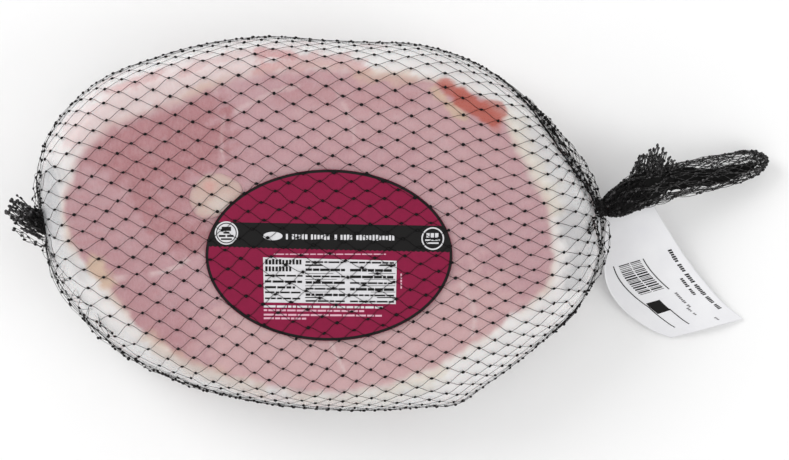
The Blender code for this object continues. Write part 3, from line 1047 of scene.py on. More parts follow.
knots = net_knots()
draw = np.random.default_rng(11)
flat_knots = knots.reshape(-1, 3)
loose = slack(settle(flat_knots, 0.0))
shake = draw.normal(0, 1, flat_knots.shape) * (SHAKE_TIGHT + SHAKE_LOOSE * loose)[:, None]
shake = shake.reshape(knots.shape)
shake[[0, -1]] = 0
knots = settle(flat_knots + shake.reshape(-1, 3), 0.0).reshape(knots.shape)
knot_lift = (loose * draw.uniform(0, STAND_OFF, len(loose))).reshape(knots.shape[:2])
knot_lift[[0, -1]] = 0
print("knots:", knots.shape[:2], "from", knots.min((0, 1)).round(1), "to",
      knots.max((0, 1)).round(1))

# %% [markdown]
# ## Net material
#
# The net is black extruded plastic. It is a little shiny, and fine enough that on the face each
# strand reads as a thin grey line and only the knots read as black. On the bunched net, the grey
# flecks in its colour are painted glints.

# %% Net finish
def net_material(name, dark, light, low, high, roughness, shine):
    """Plastic between two colours in flecks about a millimetre across; grey flecks are painted
    glints.
    """
    recipe = Recipe(name)
    flecks = recipe.noise(850.0, 2.0, 0.55)
    body = recipe.mix(recipe.span(flecks, low, high), rgb(*dark), rgb(*light))
    recipe.plug(body, recipe.shader, "Base Color")
    recipe.surface(Roughness=roughness, Specular_IOR_Level=shine)
    return recipe.material


black_net = net_material("black_net", (5, 4, 4), (18, 16, 17), 0.3, 0.7, 0.5, 0.15)
# The bunched net's grey flecks, up to 112 of 255, are painted glints on black plastic.
rope_net_painted_glints = net_material("bunched_net", (12, 11, 11), (112, 110, 111), 0.48, 0.74, 0.42, 0.3)
rope_heart = net_material("bunched_net_heart", (4, 4, 4), (16, 15, 15), 0.3, 0.7, 0.8, 0.15)

# %% [markdown]
# ## The net on the pack
#
# Each knot joins two knots of the next ring. The strands leave it along the net and swing apart,
# which makes the soft S of a knotted net. Every point of every strand is settled onto the form, so
# the net bends over the edge as tight string does, and climbs over the label's edge.
#
# Near the ends the strands are long and slack, so each bows off the film by a share of its length
# past `LONG_FROM`, up to a limit. Those that leave the left tie along the widest line would lie
# on one another there, so only every seventh knot has its own. Strands down the side are thinner.

# %% Net on the pack
STRAND_STEPS = 6
STRAND_SHORTEST = 0.8
STRAND_SWING, STRAND_WAVE = 0.29, 0.09  # length and unevenness of the S
LONG_FROM, LONG_BOW, LONG_BOW_LIMIT = 11.0, 0.09, 2.6
GATHERED_KEPT = 7  # every seventh is made, of those that end this far aside and this high:
GATHERED_ASIDE, GATHERED_ABOVE = 24, 13
SIDE_THINNER = 0.68  # a strand down the side, as a share of one on the face
SIDE_FROM, SIDE_TO = 0.15, 0.65  # upward part of the outward direction, from side to face
FRONT_ABOVE = 40  # mean height that parts the front strands from the back ones
KNOT_HALF_SIZES = (0.83, 0.72, 0.56)
KNOT_UNEVEN = (0.8, 1.25)
KNOT_PROUD = 0.05  # mm that a knot's middle lies above its strands'


def far_ends(values):
    """For each knot's rising and falling strand, the value at the far end."""
    odd = (np.arange(len(values) - 1) % 2 == 1).reshape((-1,) + (1,) * (values.ndim - 1))
    ahead, behind = np.roll(values, -1, axis=1), np.roll(values, 1, axis=1)
    return np.where(odd, ahead[1:], values[1:]), np.where(odd, values[1:], behind[1:])


def pack_net():
    """Every strand from knot to knot over the pack, and every knot."""
    along = unit(np.gradient(knots, axis=0))
    starts, leave = (np.concatenate((v[:-1], v[:-1])).reshape(-1, 3) for v in (knots, along))
    ends, enter = (np.concatenate(far_ends(v)).reshape(-1, 3) for v in (knots, along))
    lift_start = np.concatenate((knot_lift[:-1], knot_lift[:-1])).reshape(-1, 1)
    lift_end = np.concatenate(far_ends(knot_lift)).reshape(-1, 1)
    gap = np.linalg.norm(ends - starts, axis=1)
    number = np.arange(len(gap))
    gathered = ((number // RING_KNOTS % RINGS == 0) & (np.abs(ends[:, 1]) > GATHERED_ASIDE)
                & (ends[:, 2] > GATHERED_ABOVE))
    keep = (gap > STRAND_SHORTEST) & ~(gathered & (number % GATHERED_KEPT > 0))
    print("strand lengths, tenth, middle, ninetieth:", np.percentile(gap, (10, 50, 90)).round(2))
    draw = np.random.default_rng(3)
    wave = draw.normal(0, STRAND_WAVE, leave.shape)
    lines = curves(starts, ends, unit(leave + wave), unit(enter - wave), STRAND_SWING,
                   STRAND_STEPS)[keep]
    share = np.linspace(0, 1, STRAND_STEPS + 1)[None]
    bow = draw.uniform(0, LONG_BOW, len(gap)) * np.maximum(gap - LONG_FROM, 0)
    bow = np.minimum(bow, LONG_BOW_LIMIT)[:, None] * 4 * share * (1 - share)
    slack_lift = (lift_start * (1 - share) + lift_end * share + bow)[keep].ravel()
    flat = settle(lines.reshape(-1, 3), 0.0, 3)
    lift = NET_LIFT + over_label(flat) + CREASE_HEIGHT * creases(flat) + slack_lift
    lines = (flat + outward(flat) * lift[:, None]).reshape(lines.shape)
    lines[..., 2] = np.maximum(lines[..., 2], STRAND_RADIUS)
    facing = np.abs(outward(flat)[:, 2]).reshape(lines.shape[:2]).mean(1)
    thin = STRAND_RADIUS * (SIDE_THINNER + (1 - SIDE_THINNER) * ramp(facing, SIDE_FROM, SIDE_TO))
    upper = lines[:, :, 2].mean(1) > FRONT_ABOVE
    for name, part in (("net_strands_front", upper), ("net_strands_back", ~upper)):
        make_piece(name, *tubes(lines[part], thin[part]), black_net, "net")
    spots = knots[1:-1].reshape(-1, 3)
    normals = outward(spots)
    lift = (NET_LIFT + KNOT_PROUD + over_label(spots) + CREASE_HEIGHT * creases(spots)
            + knot_lift[1:-1].ravel())
    centres = spots + normals * lift[:, None]
    centres[:, 2] = np.maximum(centres[:, 2], KNOT_HALF_SIZES[2])
    size = np.array(KNOT_HALF_SIZES) * draw.uniform(*KNOT_UNEVEN, (len(spots), 3))
    turned = unit(along[1:-1].reshape(-1, 3) + draw.normal(0, 0.25, spots.shape))
    make_piece("net_knots", *beads(centres, turned, normals, size), black_net, "net")


pack_net()

# %% [markdown]
# ## Bunched net
#
# Where the net is gathered it becomes a rope of the same strands and knots, pulled straight and
# lying in many layers. `bunch` makes it: knots at random depths round a path, each layer slipped
# along by its own amount, joined by strands in the same diamond pattern. The edge ridge, the two
# necks, the handle and its loose tail are all bunches, which differ only in path and size. A dark
# `heart` fills the middle of the thick ones, because nothing is seen through so many layers. The
# ridge has none, so the fat shows through its meshes.

# %% A rope of bunched net
PATH_POINTS = 121  # along the path of a bunch


def frame_along(path):
    """Heading, level sideways and upright directions for each point of a path."""
    heading = unit(np.gradient(path, axis=0))
    sideways = unit(np.cross((0, 0, 1.0), heading))
    return heading, sideways, np.cross(heading, sideways)


def bunch(route, half_widths, half_heights, rows, rings, layers, seed, depth=(0.72, 1.05),
          bead=(0.95, 0.62, 0.6), thin=STRAND_RADIUS, ragged=1.2, fray=0.0):
    """Strands and beads round a path: widths and heights are given at even shares of the path."""
    path, width, height = (spline(v, PATH_POINTS) for v in (route, half_widths, half_heights))
    heading, sideways, upright = frame_along(path)
    draw = np.random.default_rng(seed)
    parts = []
    for layer in range(layers):
        ring, row = np.meshgrid(np.arange(rings + 1), np.arange(rows), indexing="ij")
        slip = draw.uniform(-0.5, 0.5) + draw.normal(0, 0.16, ring.shape)
        share_along = np.clip((ring + slip) / rings, 0, 1)
        share_along = share_along * (1 - fray * draw.uniform(0, 1, rows)[None])
        t = share_along * (PATH_POINTS - 1)
        i = np.clip(t.astype(int), 0, PATH_POINTS - 2)
        f = t - i
        angle = 2 * math.pi * (row + 0.5 * (ring % 2)) / rows + draw.normal(0, 0.12, ring.shape)
        angle += draw.uniform(0, 2 * math.pi) + 0.5 * np.sin(ring * 0.7 + layer)
        share = draw.uniform(*depth, ring.shape)

        def at(values):
            """The path's values at every knot of this layer."""
            g = f[..., None] if values.ndim > 1 else f
            return values[i] + (values[i + 1] - values[i]) * g

        spot = (at(path) + at(sideways) * (at(width) * share * np.cos(angle))[..., None]
                + at(upright) * (at(height) * share * np.sin(angle))[..., None])
        starts = np.concatenate((spot[:-1], spot[:-1])).reshape(-1, 3)
        ends = np.concatenate(far_ends(spot)).reshape(-1, 3)
        lead = np.concatenate((at(heading)[:-1],) * 2).reshape(-1, 3)
        wave = draw.normal(0, 0.22 * ragged, starts.shape)
        keep = np.linalg.norm(ends - starts, axis=1) > 0.6
        lines = curves(starts, ends, unit(lead + wave), unit(lead - wave), 0.33, 4)[keep]
        parts.append(tubes(lines, thin, 4))
        spots = spot.reshape(-1, 3)
        size = np.array(bead) * draw.uniform(0.7, 1.25, (len(spots), 3))
        turned = unit(at(heading).reshape(-1, 3) + draw.normal(0, 0.35, spots.shape))
        rough = unit(draw.normal(0, 1, spots.shape) + (0, 0, 2.0))
        parts.append(beads(spots, turned, rough, size, 6, 3))
    return parts


def heart(route, half_widths, half_heights, share=0.8, sides=20, rings=60, seed=1):
    """The dark lumpy closed tube inside a bunch."""
    path = spline(route, rings)
    width, height = spline(half_widths, rings) * share, spline(half_heights, rings) * share
    _, sideways, upright = frame_along(path)
    angle = np.linspace(0, 2 * math.pi, sides, endpoint=False)
    lumps = 1 + 0.10 * wander(np.arange(rings)[:, None] * 1.0, angle[None] * 4.0, 4.0, seed)
    lumps = lumps + 0.05 * np.random.default_rng(seed).normal(0, 1, lumps.shape)
    ring = (path[:, None] + sideways[:, None] * (width[:, None] * np.cos(angle) * lumps)[..., None]
            + upright[:, None] * (height[:, None] * np.sin(angle) * lumps)[..., None])
    points = np.concatenate((ring.reshape(-1, 3), path[[0]], path[[-1]]))
    return points, capped(rings, sides)


def rope_piece(name, parts, material, replaces=()):
    """Bunches joined into one piece, which stands for the given nodes."""
    piece = make_piece(name, *joined(parts), material, "net")
    for node in replaces:
        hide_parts(node)


# %% [markdown]
# ## The edge ridge and the necks
#
# The slack of the net slips down the narrowing end and gathers into a ridge at the widest line,
# thin at first and thick by the neck. On the other side of the neck there is a shorter, looser
# fold, and a few loose rows lie beside the other end. Each neck is where all the net passes
# through one tie. The paths are given as pixels of the frame, and `on_pack` finds the points of
# the form that are seen there once they are lifted.

# %% Ridge and necks
def on_pack(pixels, lift):
    """Points off the upper half of the form by lift that stand over the given pixels."""
    target = np.array([from_pixel(*pixel) for pixel in pixels])
    place = target.copy()
    for _ in range(5):
        x, y = place.T
        angle = np.arctan2(y, x)
        inset = around(CREASE_INSET, angle)
        out = np.clip((np.hypot(x, y) - plan(angle) + inset) / inset, 0, 1)
        rise = (1 - out**UPPER_FULLNESS) ** (1 / UPPER_FULLNESS)
        z = BELLY_HEIGHT + (face_height(x, y) - BELLY_HEIGHT) * rise
        points = np.column_stack((x, y, z))
        points = points + outward(points) * lift
        place = place + target - points[:, :2]
    return points


ridge_line = on_pack(((526, 97), (544, 118), (558, 140), (573, 165), (585, 187), (594, 204),
                      (598, 212)), 1.0)
ridge_loose = on_pack(((546, 117), (559, 135), (572, 153), (585, 172), (594, 189), (600, 204)),
                      1.6)
gather_low = on_pack(((597, 212), (593, 220), (590, 227), (589, 234)), 1.0)
gather_side = on_pack(((595, 222), (598, 232), (600, 242), (603, 253)), 1.2)
gather_loose = on_pack(((601, 215), (606, 224), (609, 237), (607, 250), (603, 264), (596, 279),
                        (587, 293)), 1.8)
end_top = on_pack(((40, 172), (35, 182), (33, 193), (35, 204), (41, 214)), 2.0)
end_low = on_pack(((43, 240), (48, 253), (56, 268), (66, 285), (80, 302), (96, 319), (115, 337)),
                  1.6)
small_knot = (0.8, 0.56, 0.52)
rope_piece("net_ridge", [
    *bunch(ridge_line, (0.4, 1.8, 3.6, 4.8, 5.0, 4.0, 2.4), (0.3, 0.7, 1.0, 1.5, 1.9, 2.1, 2.3),
           8, 17, 1, 21, (0.4, 1.25), small_knot, 0.075, 1.8),
    *bunch(ridge_loose, (0.5, 1.8, 3.0, 3.6, 3.2, 1.8), (0.5, 1.2, 1.8, 2.2, 2.2, 2.0),
           4, 9, 1, 29, (0.7, 1.1), small_knot, 0.1, 2.0),
    *bunch(gather_low, (2.4, 2.6, 1.9, 0.6), (2.2, 2.2, 1.5, 0.5), 4, 3, 1, 30, (0.2, 1.15),
           small_knot),
    *bunch(gather_side, (1.2, 1.3, 1.2, 0.8), (1.2, 1.2, 1.0, 0.6), 3, 4, 1, 36, (0.3, 1.1),
           small_knot),
    *bunch(gather_loose, (1.6, 2.4, 2.6, 2.4, 2.0, 1.5, 0.6), (1.6, 2.0, 2.0, 1.8, 1.4, 1.0, 0.5),
           3, 9, 1, 22, (0.5, 1.2), small_knot, 0.1, 2.2),
    *bunch(end_top, (0.6, 1.6, 2.2, 2.2, 1.6), (0.5, 1.2, 1.6, 1.6, 1.6), 3, 5, 1, 33,
           (0.5, 1.2), small_knot, 0.1, 2.2),
    *bunch(end_low, (1.6, 2.8, 4.0, 4.2, 3.6, 2.6, 1.0), (1.2, 1.6, 1.8, 1.8, 1.4, 1.0, 0.6),
           2, 12, 1, 34, (0.6, 1.2), small_knot, 0.1, 2.2),
], black_net)
neck_left = ((-133.4, 0.6, 37.6), (-136.2, 1.6, 38.0), (-139.2, 3.0, 38.4))
neck_right = ((134.6, 6.0, 34.4), (137.6, 7.2, 33.6), (143.0, 10.2, 32.0))
rope_piece("net_necks", [
    *bunch(neck_left, (4.4, 3.9, 4.3), (4.4, 3.9, 4.3), 14, 2, 2, 23),
    *bunch(neck_right, (3.6, 3.6, 4.8), (3.4, 3.4, 4.6), 14, 2, 3, 24),
], black_net)
rope_piece("net_neck_hearts", [
    heart(neck_left, (3.6, 3.5, 3.7), (3.6, 3.5, 3.7), 1.0, 16, 8, 4),
    heart(neck_right, (2.4, 3.0, 4.0), (2.4, 3.0, 4.0), 1.0, 16, 8, 5),
], rope_heart)

# %% [markdown]
# ## The handle, its tail and the tuft
#
# The long end of the net is doubled back on itself and tied at the neck, which makes a flat loop
# pressed shut. Its heart is dark only where the layers are many, and the fold at the far end and
# the two edges stay open. The cut end of the loop stands out behind as a small brush, and at the
# other end of the pack the net is cut short past the tie. `brush` makes both: strands in groups,
# with the last knot of each still on its tip.

# %% Handle and tuft
def in_picture(pixels, heights):
    """Points at the given heights that are seen at the given pixels."""
    x, y = np.array([from_pixel(*pixel) for pixel in pixels]).T
    mid_x, mid_y = from_pixel(FRAME_WIDTH / 2, FRAME_HEIGHT / 2)
    z = np.asarray(heights, float) * np.ones(len(x))
    spread = (CAMERA_HEIGHT - z) / (CAMERA_HEIGHT - EYE_LEVEL)
    return np.column_stack((mid_x + (x - mid_x) * spread, mid_y + (y - mid_y) * spread, z))


def brush(bases, tips, each, spread, seed, thin=0.2, bead=(0.75, 0.6, 0.6), middle=2):
    """Cut strands, `each` of them round every line from base to tip, with knots on the way."""
    draw = np.random.default_rng(seed)
    starts, ends = (np.repeat(np.asarray(p, float), each, axis=0) for p in (bases, tips))
    starts = starts + draw.normal(0, spread, starts.shape)
    ends = ends + draw.normal(0, spread, ends.shape)
    reach = unit(ends - starts)
    lines = curves(starts, ends, unit(reach + draw.normal(0, 0.25, reach.shape)),
                   unit(reach + draw.normal(0, 0.15, reach.shape)), 0.33, 5)
    spots = np.concatenate((ends, lines[::2, 3], lines[::middle, 2]))
    heading = np.concatenate((reach, reach[::2], reach[::middle]))
    size = np.array(bead) * draw.uniform(0.7, 1.2, (len(spots), 3))
    rough = unit(draw.normal(0, 1, spots.shape) + (0, 0, 2.0))
    return [tubes(lines, thin, 5), beads(spots, heading, rough, size, 7, 4)]


handle_route = in_picture(((603, 208), (611, 205.5), (620, 201.5), (631, 195), (642, 189.5),
                           (662, 183.5), (685, 179), (708, 174), (730, 168.8), (748, 164.2),
                           (757, 162), (763, 160.5), (767, 159.6)),
                          (33.4, 32.6, 31.4, 29.8, 27.9, 23.7, 19.4, 15.4, 11.7, 9.6, 8.8, 8.4,
                           8.2))
handle_half_widths = (3.2, 5.4, 6.6, 7.8, 8.6, 8.1, 8.0, 8.2, 7.9, 7.0, 5.6, 3.6, 0.9)
handle_half_heights = (3.0, 4.8, 5.8, 6.2, 6.5, 6.5, 6.3, 6.0, 5.6, 4.8, 4.0, 2.8, 0.8)
heart_route = in_picture(((603, 208), (611, 205.5), (620, 202), (640, 191), (662, 180.5),
                          (685, 177.5), (708, 177), (730, 173), (746, 168), (757, 163.5)),
                         (33.4, 32.6, 31.4, 28.3, 23.7, 19.4, 15.4, 11.7, 9.8, 8.8))
heart_half_widths = (3.2, 5.3, 6.4, 7.8, 6.1, 5.0, 3.9, 3.4, 2.4, 0.6)
heart_half_heights = (3.0, 4.7, 5.5, 5.8, 5.4, 4.6, 3.9, 3.2, 2.2, 0.6)
TAIL_TIPS = ((638, 163), (640, 156.5), (645, 156), (650, 153), (653.5, 149.5), (657.5, 147),
             (662.5, 149), (664.5, 153), (660, 156), (655, 156), (669, 158.5), (673, 161.5),
             (678, 164))
TAIL_BASES = ((630, 177), (634, 176), (638, 177), (643, 177), (646, 177), (650, 177), (655, 176),
              (658, 174), (656, 172), (650, 172), (664, 171), (668, 171), (673, 171))
TUFT_TIPS = ((17, 198), (13, 201.5), (9.5, 206.5), (11, 211), (9.8, 215.5), (14, 219), (17, 222.5),
             (20, 203), (24, 206), (23, 227), (28, 210), (18, 212), (16, 206), (26, 217),
             (28, 231.5), (14, 208), (20, 219), (32, 213))
TUFT_BASES = ((43, 221), (42, 224), (42, 227), (42.5, 229), (42, 231), (42.5, 234), (42, 237),
              (44, 220.5), (45.5, 220.5), (43, 238.5), (46, 222), (44, 229), (44, 226), (45, 232),
              (44, 240), (44, 224), (45, 234), (46.5, 221))
tail_route = in_picture(((646, 181), (650, 169), (653, 157)), (27.5, 29.5, 31.5))
tail = np.arange(len(TAIL_TIPS))
tuft = np.arange(len(TUFT_TIPS))
tail_tips = in_picture(TAIL_TIPS, 30.5 + 2.0 * np.sin(2.4 * tail))
tail_bases = in_picture(TAIL_BASES, 26.5 + 1.5 * np.sin(1.7 * tail))
tuft_tips = in_picture(TUFT_TIPS, 39.5 + 3.6 * np.sin(2.4 * tuft))
tuft_bases = in_picture(TUFT_BASES, 38.6 + 3.0 * np.sin(1.7 * tuft))
rope_piece("net_handle_heart", [heart(heart_route, heart_half_widths, heart_half_heights,
                                      1.0, 28, 80, 6)], rope_heart, ["net_handle"])
rope_piece("net_handle_root", [
    *bunch(handle_route[:5], (3.4, 5.6, 6.8, 7.6, 7.8), (3.2, 5.0, 6.0, 6.3, 6.4), 13, 5, 3, 38,
           (0.97, 1.05), (0.8, 0.6, 0.6), 0.16),
], black_net, ["net_handle"])
rope_piece("net_handle_rope", [
    *bunch(handle_route, handle_half_widths, handle_half_heights, 12, 13, 2, 25, (0.84, 1.03),
           (0.8, 0.6, 0.6), 0.15),
    *bunch(handle_route, handle_half_widths, handle_half_heights, 7, 12, 1, 31, (1.0, 1.05),
           (1.0, 0.75, 0.75), 0.14),
    *bunch(tail_route, (6.6, 6.8, 5.6), (2.4, 2.2, 1.8), 9, 3, 2, 37, (0.5, 1.05),
           (0.7, 0.6, 0.6), 0.14),
    *brush(tail_bases, tail_tips, 5, 0.5, 26, 0.18),
], rope_net_painted_glints, ["net_handle"])
tuft_route = in_picture(((47, 229), (39, 226), (31, 220), (25, 216)), (38.4, 38.6, 38.9, 39.2))
rope_piece("net_tuft_heart", [
    heart(tuft_route, (3.5, 2.5, 1.3, 0.5), (3.5, 2.5, 1.3, 0.5), 1.0, 20, 20, 8),
], rope_heart, ["net_tuft"])
under_tuft = in_picture(((14, 229), (24, 236), (34, 242), (43, 247)), 35.0)
rope_piece("net_tuft_rope", [
    *brush(tuft_bases, tuft_tips, 4, 0.85, 27, 0.15, (1.0, 0.75, 0.75), 1),
    *bunch(under_tuft, (0.8, 1.4, 1.4, 1.0), (0.8, 1.2, 1.2, 1.0), 2, 4, 1, 35, (0.4, 1.2),
           ragged=2.2),
], rope_net_painted_glints, ["net_tuft"])

# %% [markdown]
# ## The oval label
#
# The label is a satin sticker on the film. It is one closed disc that follows the crown of the
# face, and all of its print is ink laid on it: thin closed slabs, a few hundredths of a millimetre
# thick, each following the same crown. `slab` inks the space between two closed outlines, `strip`
# the space between two open edges, `spot` the inside of one outline, and `bars` many small boxes.
# There is no lettering: lines of type are rows of small bars with seeded word lengths.

# %% The label's disc and ink
LABEL_LIFT = 0.35
LABEL_THICKNESS = 0.4
LABEL_AROUND = 180
INK_THICKNESS = 0.035
BAR_THICKNESS = 0.03
INK_DARKEST = 0.86  # share of its colour where the ink is darkest


def ink_material(name, colour, roughness):
    """One colour of print, a little uneven."""
    recipe = Recipe(name)
    grain = recipe.noise(300.0, 3.0, 0.6)
    darker = tuple(channel * INK_DARKEST for channel in colour[:3]) + (1.0,)
    recipe.plug(recipe.mix(recipe.span(grain, 0.25, 0.75), darker, colour), recipe.shader,
                "Base Color")
    recipe.surface(Roughness=roughness, Specular_IOR_Level=0.22)
    return recipe.material


magenta = ink_material("label_magenta", rgb(136, 14, 60), 0.4)
black_ink = ink_material("ink_black", rgb(14, 12, 12), 0.55)
white_ink = ink_material("ink_white", rgb(222, 221, 224), 0.4)
pink_ink = ink_material("ink_pale", rgb(226, 178, 194), 0.4)
grey_ink = ink_material("ink_grey", rgb(120, 118, 120), 0.5)


def on_label(x, y, lift):
    """Points over the label's upper face, off it by lift."""
    return np.column_stack((x, y, face_height(x, y) + LABEL_LIFT + LABEL_THICKNESS + lift))


def label_disc():
    """Rings from the middle of the top, over a rounded rim, to the middle of the underside."""
    shares = np.concatenate((np.linspace(0.06, 0.98, 20), (0.994, 1.0, 1.0, 0.994), (0.5,)))
    drops = np.concatenate((np.zeros(20), (0.04, 0.12, 0.30, 0.39, 0.4)))
    angle = np.linspace(0, 2 * math.pi, LABEL_AROUND, endpoint=False)
    x = LABEL_CENTRE[0] + LABEL_HALF[0] * shares[:, None] * np.cos(angle)
    y = LABEL_CENTRE[1] + LABEL_HALF[1] * shares[:, None] * np.sin(angle)
    z = face_height(x, y) + LABEL_LIFT + LABEL_THICKNESS - drops[:, None]
    rings = np.stack((x, y, z), -1).reshape(-1, 3)
    cx, cy = LABEL_CENTRE
    crown = face_height(cx, cy) + LABEL_LIFT
    points = np.concatenate((rings, [[cx, cy, crown + LABEL_THICKNESS], [cx, cy, crown]]))
    piece = make_piece("label_disc", points, capped(len(shares), LABEL_AROUND, True), magenta,
                       "label")
    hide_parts("label")


def between(first, second, i, k, lift):
    """Ink between two lines with the same number of points, with a face from each i to its k."""
    count = len(first)
    low = lift - INK_THICKNESS
    loops = [on_label(*first.T, lift), on_label(*second.T, lift), on_label(*second.T, low),
             on_label(*first.T, low)]
    faces = [np.stack((a * count + i, a * count + k, b * count + k, b * count + i), 1)
             for a, b in ((0, 1), (1, 2), (2, 3), (3, 0))]
    return np.concatenate(loops), faces


def slab(outer, inner, lift):
    """Ink between two closed outlines: a closed flat ring."""
    i = np.arange(len(outer))
    return between(outer, inner, i, (i + 1) % len(outer), lift)


def strip(lower, upper, lift):
    """Ink between two open edges, with a cap at each end."""
    count = len(lower)
    i = np.arange(count - 1)
    points, faces = between(lower, upper, i, i + 1, lift)
    caps = np.array([[3, 2, 1, 0], [0, 1, 2, 3]]) * count
    caps[1] += count - 1
    return points, [*faces, caps]


def spot(outline, centre, lift):
    """Ink inside one closed outline, as rings that shrink to its centre."""
    count = len(outline)
    middle = np.asarray(centre, float)
    low = lift - INK_THICKNESS
    shares = (1.0, 0.66, 0.33)
    top = [on_label(*(middle + (outline - middle) * s).T, lift) for s in shares]
    under = [on_label(*(middle + (outline - middle) * s).T, low) for s in shares]
    ends = [on_label(*middle[:, None], lift), on_label(*middle[:, None], low)]
    rings = np.concatenate(under[::-1] + top)
    points = np.concatenate((rings, *ends))
    faces = [loop_grid(6, count), fan(len(rings), 5 * count + np.arange(count), False),
             fan(len(rings) + 1, np.arange(count), True)]
    return points, faces


def oval(centre, half, count=96):
    """Anticlockwise points of an ellipse."""
    angle = np.linspace(0, 2 * math.pi, count, endpoint=False)
    return np.column_stack((centre[0] + half[0] * np.cos(angle),
                            centre[1] + half[1] * np.sin(angle)))


def bars(boxes, lift):
    """Closed boxes for many (left, bottom, right, top) rows at once, sides along x and y."""
    boxes = np.asarray(boxes, float)
    x0, y0, x1, y1 = boxes.T
    corners = ((x0, y0), (x1, y0), (x1, y1), (x0, y1))
    upper = np.stack([on_label(x, y, lift) for x, y in corners], 1)
    lower = upper - (0, 0, BAR_THICKNESS)
    points = np.concatenate((upper, lower), 1).reshape(-1, 3)
    cube = np.array(((0, 1, 2, 3), (7, 6, 5, 4), (0, 4, 5, 1), (1, 5, 6, 2), (2, 6, 7, 3),
                     (3, 7, 4, 0)))
    base = (np.arange(len(boxes)) * 8)[:, None, None]
    return points, [(cube[None] + base).reshape(-1, 4)]


def words(left, right, y, height, seed, fill=0.7, letter=0.85, tilt=0.0):
    """Boxes of a greeked line of type: word bars with gaps between them."""
    draw = np.random.default_rng(seed)
    boxes, x = [], left
    while x < right - letter:
        length = min(letter * draw.integers(2, 8), right - x)
        middle = y + tilt * (x + length / 2 - left)
        boxes.append((x, middle - height / 2, x + length, middle + height / 2))
        x += length + letter * (1 - fill) * 3
    return boxes


label_disc()


# %% [markdown]
# ## What is printed on the label
#
# A black keyline runs round the oval. A dark band crosses it, with a scalloped lower edge, a round
# white badge at one end, a ring badge at the other, and a line of reversed type between. Below
# the band lies a white facts panel with ruled rows, and lines of small white type lie below that.

# %% The label's print
KEYLINE_INSETS = (0.15, 1.45)  # mm in from the label's edge
BADGE_RADII = (5.55, 5.4)  # of the left and the right badge
LEFT_MARKS = (
    (-2.2, 1.0, 2.2, 3.0), (-1.4, -0.3, 1.4, 0.6), (-3.6, -1.9, -0.4, -0.9),
    (0.3, -1.9, 3.4, -0.9), (-2.6, -3.3, 2.6, -2.5),
)
RIGHT_MARKS = (
    (-3.0, 0.5, -1.5, 2.6), (-1.0, 0.5, 0.6, 2.6), (1.1, 0.5, 2.7, 2.6),
    (-3.6, -1.1, 3.4, -0.4), (-3.0, -2.5, 2.8, -1.8),
)
BAND_TYPE = (1, 5, 6, 0, 1, 4, 12)  # bars in each word of the band's line
BAND_PITCH, FACTS_PITCH = 1.55, 1.62  # mm from bar to bar
PANEL_CORNERS = ((265.2, 301.7), (395.8, 303.4), (396.8, 260.5), (264.3, 257))  # pixels
HEAD_LINES = ((258.6, 266.5, 303.5), (265.4, 266.5, 291.5))  # top, left, right, in pixels
LOW_LINES = (  # height, left, right, in pixels
    (305.6, 265, 383), (309.4, 265, 366), (313.8, 265, 382), (317.4, 265, 307),
)


def pixel_box(left, top, right, bottom):
    """left, bottom, right, top in mm for a box given in pixels of the frame."""
    x0, y1 = from_pixel(left, top)
    x1, y0 = from_pixel(right, bottom)
    return x0, y0, x1, y1


def band_outline(count=150):
    """The band: both edges bow with the wrap, and the lower one has small scallops."""
    top = np.array([from_pixel(*p) for p in ((212, 222), (330, 224), (448, 226))])
    low = np.array([from_pixel(*p) for p in ((206, 246), (330, 249.5), (454, 252))])
    upper, lower = spline(top, count), spline(low, count)
    lower[:, 1] += 0.28 * np.cos(2 * math.pi * lower[:, 0] / 2.3)
    outline = np.vstack((lower, upper[::-1]))
    reach = np.hypot((outline[:, 0] - LABEL_CENTRE[0]) / (LABEL_HALF[0] - 0.4),
                     (outline[:, 1] - LABEL_CENTRE[1]) / (LABEL_HALF[1] - 0.4))
    centre = np.array(LABEL_CENTRE)
    return centre + (outline - centre) / np.maximum(reach, 1.0)[:, None]


def round_line(centre, radius):
    """The outline of a circle."""
    return oval(centre, (radius, radius))


def badge_marks(centre, marks, lift):
    """Bars at (left, bottom, right, top) from a badge's centre."""
    cx, cy = centre
    return bars([(cx + a, cy + b, cx + c, cy + d) for a, b, c, d in marks], lift)


def band_type():
    """The band's line of type: words of upright bars, each a little uneven."""
    x0, x1 = from_pixel(287, 237)[0], from_pixel(399, 240)[0]
    line_y = from_pixel(287, 236.6)[1]
    draw = np.random.default_rng(31)
    letters, x = [], x0
    for size in BAND_TYPE:
        for _ in range(size):
            rise = draw.uniform(0.9, 1.35)
            y = line_y - 0.012 * (x - x0)
            letters.append((x, y - rise, x + draw.uniform(0.9, 1.15), y + rise))
            x += BAND_PITCH
        x += 1.3 if size else 0.6
    return [box for box in letters if box[2] < x1 + 0.3]


